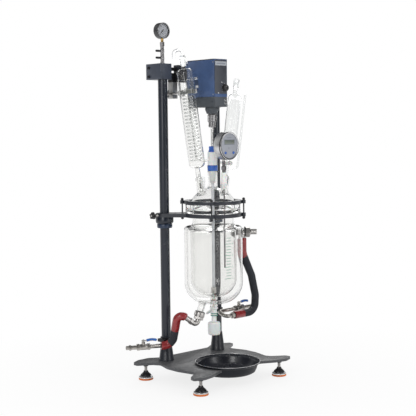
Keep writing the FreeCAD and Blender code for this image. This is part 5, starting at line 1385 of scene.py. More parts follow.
# Chuck, shaft and impeller. A fluted steel chuck grips a ground steel shaft, coated pearl grey in the
# pot, that runs down to a two-bladed impeller with cut corners, close above the bottom of the pot.
chuck_steel = finish(
    "chuck_steel", (0.27, 0.265, 0.27), 0.25, metallic=1, depth=0.10, mottle=0.14, wear=0.35,
    wear_colour=(0.62, 0.62, 0.62), dust=0.02, streaks=(90, 90, 2200),
)
shaft_coat = finish(
    "pearl_grey_shaft_coat", (0.68, 0.68, 0.72), 0.30, depth=0.08, patch=30, mottle=0.06, wear=0, dust=0,
    coat=0.2,
)
ground_shaft = finish(
    "ground_shaft_steel", (0.66, 0.66, 0.655), 0.20, metallic=1, depth=0.05, mottle=0.06, wear=0, dust=0,
    streaks=(40, 40, 900),
)


def fluted(material, profile, count, depth, low, high, place=None, steps=None):
    """A lathe shape whose side is cut with upright flutes between two levels."""
    steps = steps or count * 8
    points, loops, material = turned(material, profile, None, steps=steps)
    for spot in points:
        if low < spot.z < high:
            reach = hypot(spot.x, spot.y)
            turn = atan2(spot.y, spot.x)
            wave = max(0, cos(turn * count)) ** 0.7
            ends = min(1, (spot.z - low) / 2, (high - spot.z) / 2)
            factor = (reach - depth * wave * ends) / reach if reach > 1 else 1
            spot.x *= factor
            spot.y *= factor
    place = place or Matrix()
    return [place @ spot for spot in points], loops, material


chuck_line = [
    (0, 979.8), (12, 979.8), (13.2, 980.8), (13.5, 982), (13.5, 990), (12.6, 991), (12.6, 993), (13.5, 994),
    (13.5, 998.6), (16, 1000.4), (17, 1002.4),
]
chuck_line += [(17, 1003 + 2.2 * k) for k in range(11)]
chuck_line += [(16.8, 1027), (14.6, 1030.4), (8, 1030.6), (8, 1050), (0, 1050)]
piece(
    "chuck_fluted", "stirrer",
    [fluted(chuck_steel, chuck_line, 12, 1.5, 1001.5, 1027.5)]
    + [
        socket_screw(black_oxide, 2.6, 0.9, aim((13.2 * cos(a), 13.2 * sin(a), 986), (cos(a), sin(a), 0)))
        for a in (0.6, 2.7, 4.8)
    ],
    node="chuck",
)
piece(
    "stirrer_shaft_ground", "stirrer",
    [
        turned(ground_shaft, [(0, 338), (3.9, 338), (4.5, 338.8), (4.5, 1048.8), (0, 1048.8)], steps=40),
        sleeve(
            shaft_coat, [(4.4, 357.2), (5.5, 357.3), (5.8, 357.8), (5.8, 764.4), (5.5, 764.9), (4.4, 765)],
            steps=48,
        ),
    ],
    node="stirrer_shaft",
)
blade_turn = tilted(46, "Z")
blade_shapes = [
    turned(
        turned_steel,
        [(0, 333), (8.8, 333), (10, 334), (10, 355.6), (8.8, 357), (4.6, 357), (4.6, 338.2), (0, 338.2)],
        steps=56,
    ),
    socket_screw(black_oxide, 2.4, 0.8, blade_turn @ aim((0, -9.8, 348), (0, -1, 0))),
]
for side in (-1, 1):
    outline = [(side * 7.2, 333), (side * 30, 333), (side * 65.4, 355), (side * 65.4, 363), (side * 7.2, 363)]
    blade = softened(prism(outline, -2, 2, along_y=True), 0.8)
    blade_shapes.append(shape_of(placed(blade, blade_turn), turned_steel))
piece("impeller_bladed", "stirrer", blade_shapes, node="impeller")


# Thermometer. A steel-cased dial head with a grey face, a bare display window and two blue
# buttons, screwed by its gland on a white PTFE adapter, its thin probe reaching into the pot.
stem_spot = moved(0, -neck_reach, 0)
piece(
    "thermometer_adapter_ptfe", "stand",
    [sleeve(
        ptfe_white,
        [(3.1, 743.2), (9.3, 743.2), (10.5, 760.9), (10.6, 761.3), (12.2, 761.3), (12.6, 762), (12.6, 774.2),
         (12, 775), (10.6, 776.4), (10.6, 790), (10.1, 790.8), (10.1, 792.2), (10.6, 793), (10.6, 805.8),
         (10, 806.9), (3.1, 806.9)],
        stem_spot,
    )],
    node="thermometer_adapter",
)
probe_steel = finish(
    "dark_probe_steel", (0.15, 0.145, 0.15), 0.32, metallic=1, depth=0.08, wear=0.3,
    wear_colour=(0.45, 0.45, 0.46), dust=0.02, streaks=(60, 60, 900),
)
stem_shapes = [
    turned(
        probe_steel, [(0, 441), (2.2, 441.2), (2.9, 442.4), (3, 444), (3, 807.3), (0, 807.3)], stem_spot,
        steps=28,
    ),
    turned(probe_steel, [(0, 807.2), (6.6, 807.2), (7, 807.8), (7, 817.2), (0, 817.2)], stem_spot, steps=48),
    hexagon(probe_steel, 10, 817.1, 830.6, stem_spot),
    turned(
        probe_steel, [(0, 830.4), (8.2, 830.4), (7.6, 831.6), (6, 833), (6, 850.8), (0, 850.8)], stem_spot,
        steps=48,
    ),
]
piece("thermometer_stem_turned", "stand", stem_shapes, node="thermometer_stem")

head_turn = moved(0, -neck_reach, 908.5) @ tilted(5, "Z")
head_spot = head_turn @ moved(0, 6, 0) @ tilted(90, "X")
dark_bezel = finish(
    "dark_bezel_lacquer", (0.05, 0.052, 0.057), 0.28, metallic=0.4, grain=0.5, depth=0.08, wear=0.5,
    wear_colour=(0.3, 0.3, 0.31), coat=0.2,
)
case_shapes = [
    turned(
        satin_steel,
        [(0, 0), (49, 0), (51.6, 0.8), (53, 2.6), (53.5, 5), (53.5, 30), (51, 31.5), (50.8, 31.6),
         (50.8, 3.4), (0, 3.2)],
        head_spot, steps=128,
    ),
    sleeve(
        dark_bezel, [(51.1, 30.4), (53.6, 30.4), (53.9, 31.2), (53.9, 34.6), (53.2, 36), (51.1, 36)],
        head_spot, steps=128,
    ),
    sleeve(
        polished_steel,
        [(50.9, 35.6), (53.3, 35.8), (53.4, 37), (52.2, 38), (49, 38), (47.8, 37.5), (47.5, 36.6),
         (50.9, 36.4)],
        head_spot, steps=128,
    ),
    turned(turned_steel, [(0, -57.6), (6, -57.6), (6, -52.6), (0, -52.6)], head_turn, steps=40),
]
piece("thermometer_case_turned", "stand", case_shapes, node="thermometer_case", smooth=38)

face_grey = finish(
    "grey_face_foil", (0.33, 0.345, 0.385), 0.42, grain=0.7, depth=0.10, patch=30, mottle=0.05, wear=0,
    dust=0.02,
)
display_glass = finish(
    "display_window", (0.16, 0.18, 0.155), 0.10, grain=3, depth=0.02, patch=14, wear=0, dust=0.01, coat=0.6,
)
print_grey = finish(
    "face_print_grey", (0.13, 0.15, 0.18), 0.45, grain=0.5, depth=0.05, mottle=0.05, wear=0, dust=0,
)
face_disc = slab(
    face_grey, [(50.6 * cos(tau * k / 96), 50.6 * sin(tau * k / 96)) for k in range(96)], 32, 35.6, 0.2,
    holes=[(-22.5, -26, 5.2), (22.5, -26, 5.2)],
)
face_shapes = [([head_spot @ spot for spot in face_disc[0]], face_disc[1], face_disc[2])]
face_shapes.append(block(print_grey, (-29, 5, 35.5), (29, 24, 36), 0.3, head_spot))
face_shapes.append(block(display_glass, (-27, 7, 35.6), (27, 22, 36.35), 0.25, head_spot))
face_shapes.append(block(print_grey, (-13, 30, 35.5), (13, 31.6, 35.8), 0.06, head_spot))
strokes = [(0, row, 5.4, 0.9) for row in (0, 5, 10)]
strokes += [(edge, row, 0.9, 4.4) for row in (0.7, 5.7) for edge in (-0.5, 5)]
for left in (-12.6, -3.4, 5.8):
    for x, y, wide, tall in strokes:
        if left > 0 and (x, y) == (-0.5, 0.7):
            continue
        if left < -10 and (x, y) in ((0, 5), (-0.5, 5.7)):
            continue
        face_shapes.append(block(
            print_grey, (left + x, 9 + y, 36.2), (left + x + wide, 9 + y + tall, 36.45), 0.08, head_spot,
        ))
face_shapes.append(turned(
    print_grey, [(0, 35.5), (2.2, 35.5), (2.2, 35.9), (1.6, 36.2), (0, 36.3)], head_spot @ moved(-3.5, -8, 0),
    steps=24,
))
for k in range(9):
    spot = head_spot @ tilted(200 + 17.5 * k, "Z")
    face_shapes.append(block(print_grey, (42, -0.4, 35.5), (46, 0.4, 35.8), 0.06, spot))
piece("thermometer_face_printed", "stand", face_shapes, node="thermometer_face")
for side, name in ((-1, "left"), (1, "right")):
    spot = head_spot @ moved(side * 22.5, -26, 0)
    piece(
        f"thermometer_button_{name}_moulded", f"thermometer_button_{name}",
        [turned(
            blue_moulding, [(0, 32.2), (4.9, 32.2), (5, 33), (5, 36.6), (4.6, 37.6), (3.4, 38.1), (0, 38.2)],
            spot, steps=40,
        )],
        node=f"thermometer_button_{name}",
    )


# Condenser. A wide glass jacket leans left in the lid's left neck; inside it a glass coil winds
# round its return tube, fed by two hose barbs near the top. The bent gas outlet plugs in above.
coil_glass = clear_glass("coil_glass", (0.20, 0.22, 0.23), (0.93, 0.935, 0.93), reach=0.40)
condenser_axis = moved(-neck_reach, 0, neck_level) @ tilted(-neck_lean, "Y")


def laid(place, path):
    """A line of points carried by a frame."""
    return [place @ Vector(spot) for spot in path]


def barb(material, place, reach, inner=2.9, outer=4.5):
    """A hose barb of glass along the frame's Z: a short neck and three sloping ridges."""
    run = [(outer * 0.86, 0), (outer * 0.86, reach * 0.38)]
    for ridge in range(3):
        low = reach * (0.42 + 0.18 * ridge)
        run += [(outer * 0.84, low), (outer * 1.04, low + reach * 0.035), (outer * 0.90, low + reach * 0.16)]
    run += [(outer * 0.80, reach - 0.2), (inner + 0.25, reach), (inner, reach - 0.4), (inner, 0)]
    return sleeve(material, run, place, steps=32)


jacket_run = curved(
    [(9.4, 2), (11, 43), (12.5, 44), (12.5, 46.2), (10.4, 48.4), (9, 51), (9, 86), (24.6, 91.2, "arc"),
     (31, 104), (31, 264), (31, 449), (26.4, 458.9, "arc"), (12.5, 464.2), (12.5, 480), (12.5, 499.5),
     (13.3, 500.6), (13.3, 502.4), (12.6, 503), (10.9, 503), (10.3, 502.4), (10.3, 480), (10.3, 463.4),
     (24.7, 457, "arc"), (28.8, 448), (28.8, 264), (28.8, 105.4), (22.6, 93.4, "arc"), (6.8, 88.2), (6.8, 50),
     (6.8, 2)],
    10,
)
condenser_shapes = [sleeve(vessel_clear, jacket_run, condenser_axis, steps=96)]
for level in (106, 390, 421):
    condenser_shapes.append(barb(vessel_clear, condenser_axis @ aim((30.2, 0, level), (1, 0, 0)), 28.6))
piece("condenser_jacket_blown", "stand", condenser_shapes, node="condenser_glass")
helix = [
    (20 * cos(turn), 20 * sin(turn), 112 + 13 * turn / tau)
    for turn in (tau * step / 44 for step in range(0, int(19.5 * 44) + 1))
]
riser = rounded_run(
    [helix[-1], (-19.6, -4, 367), (-19, -9, 388), (-4, -10, 391), (14, -6, 390), (28.4, 0, 390)],
    [2, 8, 8, 6], 2,
)
back = rounded_run([(0, 0, 120), (0, 0, 421), (28.4, 0, 421)], [9], 3)
coil_shapes = [
    swept(coil_glass, laid(condenser_axis, helix), 3.15, steps=16, bore=2.2),
    swept(coil_glass, laid(condenser_axis, riser), 3.1, steps=16, bore=2.2),
    swept(
        coil_glass, laid(condenser_axis, [(28.4, 0, 112), (25, 0, 112), (22, 0, 112), (20.4, 0, 112)]), 2.9,
        steps=16, bore=2,
    ),
    swept(coil_glass, laid(condenser_axis, back), 2.9, steps=16, bore=2.1),
]
piece("condenser_coil_wound", "stand", coil_shapes, node="condenser_coil")
outlet_glass = clear_glass("outlet_glass", (0.30, 0.31, 0.32), (0.90, 0.905, 0.90), reach=0.12)
outlet_run = curved(
    [(0, 473), (8.9, 473), (10, 502.8), (11.4, 503.4), (12.5, 504.2), (12.5, 507.4), (9.6, 511.4, "arc"),
     (5.5, 513.4), (5.5, 516), (0, 516)],
    8,
)
arm_line = rounded_run([(0, 0, 515), (0, 0, 540), (-44, 0, 531), (-44, 0, 507)], [17, 16], 3)
piece(
    "gas_outlet_bent_tube", "stand",
    [
        turned(ground_joint, outlet_run, condenser_axis),
        swept(outlet_glass, laid(condenser_axis, arm_line), 5.5, steps=28, bore=3.9),
    ],
    node="gas_outlet_bend",
)


# Condenser clamp. A black boss hangs on the lower cross rod with a cast jaw under it; a steel arm runs
# from the jaw to a rubber-lined claw round the condenser, and a wing screw pinches the jaw.
cast_clamp = finish(
    "cast_zinc_clamp", (0.50, 0.50, 0.49), 0.42, metallic=0.85, grain=1.4, depth=0.30, patch=24, mottle=0.14,
    wear=0.35, wear_colour=(0.66, 0.66, 0.65), dust=0.08,
)
claw_centre = Vector((-124.09, 0, 1112))
arm_way = Vector((-46 - claw_centre.x, rod_y, 0))
arm_span = arm_way.length
arm_way.normalize()
clamp_boss = carved(
    bar(-59, 163, -33, 193, 1158.2, 1194),
    taken=[disc(rod_bore, -40, 40, place=moved(-46, rod_y, rod_levels[0]) @ tilted(90, "Y"), steps=48)],
    width=3,
)
clamp_jaw = carved(
    bar(-58.8, 163.2, -33.2, 192.8, 1094, 1158), taken=[bar(-62, 160, -30, 165.4, 1116.5, 1120.5)], width=4.5,
)
claw_turn = degrees(atan2(arm_way.y, arm_way.x)) - 90
claw_place = Matrix.Translation(claw_centre) @ tilted(-neck_lean, "Y") @ tilted(claw_turn, "Z")
claw = carved(
    disc(36, -8, 8, steps=96), added=[bar(-11, 33, 11, 47, -8, 8)],
    taken=[disc(32.3, -12, 12, steps=96), bar(-41, -49, 41, -8.4, -12, 12)], width=1,
)
placed(claw, claw_place)
grey_lining = finish(
    "grey_rubber_lining", (0.20, 0.20, 0.20), 0.75, grain=1.2, depth=0.30, patch=12, mottle=0.15, wear=0,
    dust=0.10,
)
lining = carved(
    disc(32.3, -7.4, 7.4, steps=96), taken=[disc(31.25, -12, 12, steps=96), bar(-41, -49, 41, -8.8, -12, 12)],
    width=0,
)
placed(lining, claw_place)
piece(
    "condenser_clamp_cast", "stand",
    [
        shape_of(clamp_boss, black_oxide), shape_of(clamp_jaw, cast_clamp),
        turned(
            polished_steel, [(0, 42.5), (5, 42.5), (5, arm_span - 4), (0, arm_span - 4)],
            aim(claw_centre, arm_way), steps=32,
        ),
        sleeve(
            cast_clamp, [(4.9, 46.5), (7.2, 46.5), (7.8, 47.3), (7.8, 53), (7, 54.5), (4.9, 54.5)],
            aim(claw_centre, arm_way), steps=40,
        ),
        shape_of(claw, cast_clamp), shape_of(lining, grey_lining),
    ],
    node="condenser_clamp",
)
wing_spot = aim((-59, rod_y, 1112), (-1, 0, 0))
wing_line = [
    (-15, 9), (-14.2, 16.4), (-9, 17.6), (-4.6, 13.6), (4.6, 13.6), (9, 17.6), (14.2, 16.4), (15, 9),
    (11, 6.6), (4.6, 6.2), (-4.6, 6.2), (-11, 6.6),
]
wing = placed(softened(prism(wing_line, -2.3, 2.3, along_y=True), 0.9), wing_spot)
piece(
    "clamp_wing_screw", "clamp_screw",
    [
        turned(
            turned_steel,
            threaded(3.95, 0.3, 6, 1.25)
            + [(3.95, 6), (5.4, 6.4), (5.4, 13.8), (4, 14.6), (4, 16), (0, 16.2)],
            wing_spot, steps=32,
        ),
        shape_of(wing, turned_steel),
    ],
    node="clamp_screw",
)


# Dropping funnel. A glass cylinder with a pressure-equalising side tube leans right in the lid's
# right neck; a PTFE key turns in the barrel of its stopcock and a glass stopper closes its top.
funnel_glass_clear = clear_glass("funnel_glass_clear", (0.56, 0.58, 0.58), (0.955, 0.96, 0.957), reach=0.45)
funnel_axis = moved(neck_reach, 0, neck_level) @ tilted(neck_lean, "Y")
funnel_run = curved(
    [(9.4, 2), (11, 43), (12.5, 44), (12.5, 46.2), (9.6, 48.6), (7, 52), (7, 88), (7, 115), (12, 122),
     (26, 143), (26.4, 150), (26.4, 250), (26, 358), (20.8, 367.2, "arc"), (8.6, 373), (8, 376), (8, 391),
     (9.4, 393.6), (11, 396.6), (11, 420.2), (10.4, 420.9), (9, 420.9), (8.8, 420.4), (8.4, 397), (5.8, 392),
     (5.8, 374.5), (18.8, 365.4, "arc"), (23.8, 357), (24.2, 250), (23.8, 144), (4.8, 117), (4.8, 52),
     (4.8, 2)],
    10,
)
side_turn = tilted(-42, "Z")
side_line = rounded_run([(9, 0, 381), (40, 0, 381), (40, 0, 86), (6, 0, 73.8)], [12, 14], 3)
key_spot = funnel_axis @ moved(0, 0, 100) @ tilted(-90, "X")
barrel = sleeve(
    funnel_glass_clear, [(6.1, -15), (8.6, -15), (9.2, -14.2), (9.2, 14.2), (8.6, 15), (6.1, 15)], key_spot,
    steps=48,
)
funnel_shapes = [
    sleeve(funnel_glass_clear, funnel_run, funnel_axis, steps=96), barrel,
    swept(funnel_glass_clear, laid(funnel_axis @ side_turn, side_line), 4, steps=20, bore=2.6),
]
piece("funnel_blown", "stand", funnel_shapes, node="funnel_glass")
key_wing = bar(-18, -4.5, 18, 4.5, 19, 24)
placed(softened(key_wing, 2, segments=3), key_spot)
piece(
    "stopcock_key_moulded", "stopcock_key",
    [
        turned(
            ptfe_white,
            [(0, -18), (5, -18), (6, -17), (6, 17.6), (8.4, 17.6), (9, 18.2), (9, 23.8), (8.2, 24.5),
             (0, 24.5)],
            key_spot, steps=48,
        ),
        hexagon(ptfe_white, 7.9, -20.8, -16.1, key_spot, bore=5.9), shape_of(key_wing, ptfe_white),
    ],
    node="stopcock_key",
)
stopper_glass = clear_glass("stopper_glass", (0.45, 0.47, 0.47), (0.90, 0.91, 0.91), 0.06, 0.20, reach=0.35)
piece(
    "funnel_stopper_ground", "funnel_stopper",
    [turned(
        stopper_glass,
        curved(
            [(0, 399), (7.4, 399), (7.6, 399.6), (8.5, 421.1), (10.6, 421.2), (11, 421.8), (11, 427.4),
             (10.2, 431.2, "arc"), (8.4, 432.8), (0, 433)],
            6,
        ),
        funnel_axis,
    )],
    node="funnel_stopper",
)
piece(
    "spare_neck_stopper_ground", "spare_neck_stopper",
    [turned(
        stopper_glass,
        curved(
            [(0, 744), (9, 744), (9.4, 744.6), (10.7, 770.9), (13, 771.2), (13.5, 772), (13.5, 779.6),
             (12.8, 784.8, "arc"), (10.4, 786.8), (0, 787)],
            6,
        ),
        moved(0, neck_reach, 0),
    )],
    node="spare_neck_stopper",
)


# Drain valve. A milky PTFE tube is clamped under the vessel's outlet with a spout at the back;
# green rings seal it, and the white handwheel below drives the plug rod up to its seat.
milky_ptfe = finish(
    "milky_ptfe", (0.74, 0.76, 0.755), 0.34, grain=0.9, patch=22, mottle=0.05, wear=0, dust=0.03, soft=0.15,
)
teal_ring = finish("green_sealing_ring", (0.05, 0.24, 0.20), 0.55, depth=0.10, mottle=0.08, wear=0, dust=0.05)
red_ring = finish(
    "red_sealing_ring", (0.34, 0.035, 0.030), 0.42, depth=0.10, mottle=0.08, wear=0.1, dust=0.03,
)
valve_shapes = [
    sleeve(
        milky_ptfe,
        [(5.6, 258.2), (13.4, 258.2), (14, 258.8), (14, 260.4), (12.4, 262.4), (11, 263.4), (11, 272.4),
         (13.6, 273.6), (15.6, 274.8), (16, 275.6), (16, 279), (15.4, 279.7), (5.6, 279.7)],
        steps=72,
    ),
    sleeve(
        teal_ring, [(5.6, 255.1), (13.2, 255.1), (14, 255.8), (14, 257.4), (13.2, 258.1), (5.6, 258.1)],
        steps=72,
    ),
    sleeve(milky_ptfe, [(5.6, 250.1), (10.8, 250.1), (11, 250.4), (11, 254.8), (10.8, 255), (5.6, 255)]),
    sleeve(teal_ring, [(5.6, 247), (13.2, 247), (14, 247.7), (14, 249.3), (13.2, 250), (5.6, 250)], steps=72),
    sleeve(
        milky_ptfe,
        [(5.6, 222.4), (9.4, 222.4), (10, 223)]
        + [(10 - 0.5 * (k % 2), 224.4 + 1.6 * k) for k in range(12)]
        + [(10, 244.4), (10, 246.9), (5.6, 246.9)],
    ),
]
spout_way = Vector((0, sin(radians(120)), cos(radians(120))))
spout_place = aim((0, 9, 269), spout_way)
valve_shapes.append(sleeve(
    milky_ptfe,
    [(0.4, 0), (5, 0), (5, 20), (4.4, 22), (5, 23.2), (4.4, 27), (5, 28.2), (4.4, 32), (5, 33.2), (4.2, 37.6),
     (3.4, 38), (3.2, 37.6), (3.2, 12), (0.4, 12)],
    spout_place, steps=36,
))
piece("drain_valve_body_turned", "stand", valve_shapes, node="drain_valve_body")
piece(
    "drain_plug_turned", "drain_spindle",
    [
        turned(
            ptfe_white,
            [(0, 212), (5.3, 212), (5.5, 212.4), (5.5, 300.8), (7.8, 301.2), (8.5, 302.2), (8.5, 310.2),
             (7.4, 313.6), (6.4, 315), (0, 315)],
            steps=48,
        ),
        sleeve(
            red_ring, [(8.3, 305.4), (8.75, 305.7), (8.9, 306.6), (8.9, 308.2), (8.75, 309.1), (8.3, 309.4)],
        ),
    ],
    node="drain_plug",
)
piece(
    "drain_handwheel_ribbed", "drain_handwheel",
    [
        turned(
            ptfe_white,
            curved(
                [(0, 171), (15.6, 171), (20.6, 172.6, "arc"), (23.4, 176.2), (23.6, 182.8), (23.6, 216.4),
                 (23.4, 217.4), (21.8, 220.8, "arc"), (19, 222), (5.6, 222), (5.6, 211.6), (0, 211.6)],
                6,
            ),
            steps=96,
        ),
        ribbed(ptfe_white, 22, 24.5, 183, 216.6, 30, Matrix(), 0.9),
    ],
    node="drain_handwheel",
)


# Jacket unions. Steel screw unions on the three jacket ports: an open outlet at the front right, an
# elbow down to the right hose, and at the bottom a ribbed nut and an elbow to the left hose.
union_seal = finish("black_union_seal", (0.016, 0.016, 0.017), 0.5, mottle=0.1, wear=0.1, dust=0.05)


port_way = Vector((cos(radians(-40)), sin(radians(-40)), 0))
front_spot = aim(port_way * 121 + Vector((0, 0, port_level)), port_way)
union_shapes = [
    sleeve(union_seal, [(7, 0.2), (19.6, 0.2), (20.2, 0.8), (20.2, 3.6), (19.6, 4.1), (7, 4.1)], front_spot),
    hexagon(turned_steel, 21.5, 4.2, 21, front_spot, 7.2),
    sleeve(
        turned_steel,
        [(7, 20.8), (15.4, 20.8), (15.4, 22.6), (11, 23.4)]
        + [spot for k in range(6) for spot in ((11, 25 + 3.4 * k), (10, 26 + 3.4 * k), (11, 27.8 + 3.4 * k))]
        + [(11, 46.4), (10, 48), (7.4, 48), (7, 47.4)],
        front_spot,
    ),
]
side_spot = aim((121.2, 0, port_level), (1, 0, 0))
union_shapes += [
    sleeve(union_seal, [(9, 0.1), (17.4, 0.1), (18, 0.6), (18, 2.4), (17.4, 2.9), (9, 2.9)], side_spot),
    hexagon(turned_steel, 19.35, 3, 16, side_spot, 9),
    swept(
        turned_steel, rounded_run([(136, 0, port_level), (158, 0, port_level), (158, 0, 540.3)], [15], 1.5),
        10, steps=40,
    ),
    sleeve(
        turned_steel, [(9.8, -19), (11.6, -19), (12.2, -18.2), (12.2, -13), (11.6, -12.2), (9.8, -12.2)],
        aim((158, 0, 574)), steps=48,
    ),
]
down = Vector((-0.3584, 0, -0.9336)).normalized()
inlet_end = Vector((-71.65, 0, 272.4))
nut_spot = aim(inlet_end, down)
knee = inlet_end + down * 54
hose_end = Vector((-135, 16, 256))
inlet_way = (hose_end - knee).normalized()
inlet_gap = (hose_end - knee).length
union_shapes += [
    sleeve(union_seal, [(8, 0.2), (18.6, 0.2), (19, 0.8), (19, 3), (18.6, 3.4), (8, 3.4)], nut_spot),
    ribbed(turned_steel, 8, 20.6, 3.6, 19, 36, nut_spot, 0.8),
    sleeve(turned_steel, [(8, 18.8), (17.4, 18.8), (18.2, 19.6), (18.2, 21.6), (8, 21.6)], nut_spot),
    hexagon(turned_steel, 19.6, 21.6, 32, nut_spot, 8),
    swept(
        turned_steel, rounded_run([inlet_end + down * 30, knee, hose_end - inlet_way * 0.2], [12], 1.5), 10,
        steps=40,
    ),
    hexagon(turned_steel, 13, -6, 6, aim(knee + inlet_way * inlet_gap * 0.5, inlet_way), 9),
]
piece("jacket_unions_turned", "stand", union_shapes, node="jacket_unions")


# Hoses. Two stainless hoses run inside black closed-cell foam from the jacket to the ball valves;
# glossy red tape is wound round the foam at both ends. Both ends are held, so they keep their shape.
foam_black = finish(
    "closed_cell_foam", (0.024, 0.026, 0.033), 0.80, grain=0.9, depth=0.55, patch=9, mottle=0.25, wear=0.12,
    wear_colour=(0.05, 0.05, 0.055), dust=0.10, specular=0.35,
)
red_tape = finish(
    "glossy_red_tape", (0.240, 0.018, 0.020), 0.27, grain=1.2, depth=0.30, patch=14, mottle=0.25, wear=0.15,
    wear_colour=(0.34, 0.06, 0.06), dust=0.03, coat=0.3,
)


def part_run(line, low, high):
    """The stretch of a line of points between two lengths from its start."""
    kept = []
    gone = 0
    for before, after in zip(line, line[1:]):
        run = (after - before).length
        for mark in (low, high):
            if gone < mark < gone + run:
                kept.append(before.lerp(after, (mark - gone) / run))
        gone += run
        if low < gone < high:
            kept.append(after)
    if low <= 0:
        kept.insert(0, line[0])
    if high >= gone:
        if (kept[-1] - line[-1]).length > 1e-3:
            kept.append(line[-1])
    return kept


def taped_hose(name, node_name, points, bends, tapes):
    """A foam-covered hose with slightly uneven foam and wraps of tape, each (low, high) along it."""
    line = rounded_run(points, bends, 2.5)
    total = sum((after - before).length for before, after in zip(line, line[1:]))
    spread = random.Random(len(line))
    waves = [(spread.uniform(2, 9), spread.uniform(0, 6.2), spread.choice((1, 2, 3))) for _ in range(5)]

    def foam(share, turn):
        grown = 1
        for pace, phase, lobes in waves:
            grown += 0.004 * sin(pace * share * tau + phase + lobes * turn)
        near = min(share, 1 - share) * total
        return grown * (1 - 0.14 * exp(-near / 3))

    shapes = [swept(foam_black, line, 15.25, steps=40, width=foam)]
    for low, high in tapes:
        if high > total:
            low, high = total - (high - low), total
        stretch = part_run(line, low, high)
        length = high - low

        def wrap(share, turn, length=length):
            steps_up = 0.5 + 0.5 * cos(share * length / 9 * tau + turn)
            near = min(share, 1 - share) * length
            return 1 + 0.010 * steps_up - 0.06 * exp(-near / 0.8)

        shapes.append(swept(red_tape, stretch, 15.75, steps=48, width=wrap))
    piece(name, "stand", shapes, node=node_name)


taped_hose(
    "right_hose_foam", "right_hose",
    [(158, 0, 540), (158, 0, 478), (219, 13, 382), (257, 30, 296), (263, 40, 224), (146, 40, 224)],
    [50, 90, 60, 34], [(0.3, 75), (900, 953)],
)
left_hose_points = [(-135, 16, 256), (-162, 26, 277), (-150, 76.4, 142), (-190, 96, 142)]
left_hose_bends = [19.5, 36]
taped_hose("left_hose_foam", "left_hose", left_hose_points, left_hose_bends, [(0.3, 88), (900, 936)])


# Ball valves. Nickel-plated two-piece valves with hexagon ends and a stem on top; the right one
# turns back under the hose through a bent pipe. Their steel levers carry blue sleeves.
plated = finish(
    "nickel_plated_brass", (0.42, 0.40, 0.375), 0.30, metallic=1, patch=12, mottle=0.18, wear=0.3,
    wear_colour=(0.72, 0.71, 0.69), dust=0.04,
)
blue_sleeve = finish(
    "blue_vinyl_sleeve", (0.022, 0.115, 0.40), 0.36, grain=1, depth=0.16, patch=24, mottle=0.10, wear=0.2,
    wear_colour=(0.10, 0.25, 0.5), dust=0.03, soft=0.05,
)


def valve(start, way, length, middle):
    """A ball valve on a pipe that runs from a point along a direction; the stem stands up at its middle."""
    at = aim(start, way)
    stem = aim(Vector(start) + Vector(way) * middle, (0, 0, 1))
    return [
        turned(
            plated,
            [(0, 0), (7.8, 0), (8, 0.4), (8, length - 24)]
            + [(8 - 0.6 * (k % 2), length - 11 + 0.9 * k) for k in range(12)]
            + [
                (7.2, length - 0.2), (5.4, length - 0.1), (5.2, length - 2), (5.2, length - 30),
                (0, length - 30),
            ],
            at, steps=48,
        ),
        hexagon(plated, 13, middle - 26, middle - 14, at),
        turned(
            plated,
            [(0, middle - 15), (10.6, middle - 15), (10.8, middle - 12), (11.5, middle - 9),
             (11.5, middle + 9), (10.8, middle + 12), (10.6, middle + 15), (0, middle + 15)],
            at, steps=56,
        ),
        hexagon(plated, 13, middle + 14, middle + 26, at), hexagon(plated, 11, length - 20, length - 12, at),
        turned(
            plated,
            [(0, 4), (6.8, 4), (6.8, 13.4), (6.2, 14.2), (5, 14.4), (5, 21.6), (4.6, 21.9), (0, 21.9)], stem,
            steps=40,
        ),
        hexagon(plated, 7.6, 14.2, 18.6, stem, 4.8),
    ]


left_way = Vector((-0.8981, 0.4399, 0)).normalized()
left_start = Vector((-190, 96, 142)) + left_way * 0.2
valve_run = rounded_run([(145.9, 40, 224), (100, 40, 224), (100, 85, 238), (148, 85, 238)], [18, 18], 2)
valve_shapes = valve(left_start, left_way, 138, 70)
valve_shapes += [
    swept(plated, valve_run, 8, steps=40), hexagon(plated, 13, 0, 12, aim((132, 40, 224), (1, 0, 0))),
]
valve_shapes += valve(Vector((138, 85, 238)), Vector((1, 0, 0)), 174, 78)
piece("ball_valves_plated", "stand", valve_shapes, node="ball_valves")


def lever(name, spot, way):
    """A flat lever with a rounded sleeve, starting over its stem, and the nut that holds it."""
    at = Matrix.Translation(spot) @ Matrix.Rotation(atan2(way[1], way[0]), 4, "Z")
    strap = slab(
        turned_steel,
        rounded_outline(
            [(-7, -6), (4, -6), (14, -4.4), (40, -4.4), (40, 4.4), (14, 4.4), (4, 6), (-7, 6)],
            [4, 2, 4, 0.5, 0.5, 4, 2, 4],
        ),
        0.1, 2.9, 0.4,
    )
    shapes = [([at @ point for point in strap[0]], strap[1], strap[2])]
    arch = [(11 + 3.04 * k, 0, 1.5 + 3.2 * sin(pi * k / 14)) for k in range(15)]

    def flat(share, turn):
        ends = min(1, share * 9 + 0.55, (1 - share) * 9 + 0.35)
        return ends * (0.62 + 0.38 * abs(cos(turn)))

    shapes.append(swept(blue_sleeve, [at @ Vector(spot) for spot in arch], 5.4, steps=32, width=flat))
    shapes.append(turned(turned_steel, [(0, 2.6), (6.8, 2.6), (6.8, 3.2), (0, 3.4)], at, steps=32))
    shapes.append(hexagon(turned_steel, 4.5, 3.2, 5.9, at))
    piece(f"{name}_sleeved", name, shapes, node=name)


lever("left_valve_lever", left_start + left_way * 70 + Vector((0, 0, 22.2)), -left_way)
lever("right_valve_lever", Vector((216, 85, 260.2)), (1, 0))


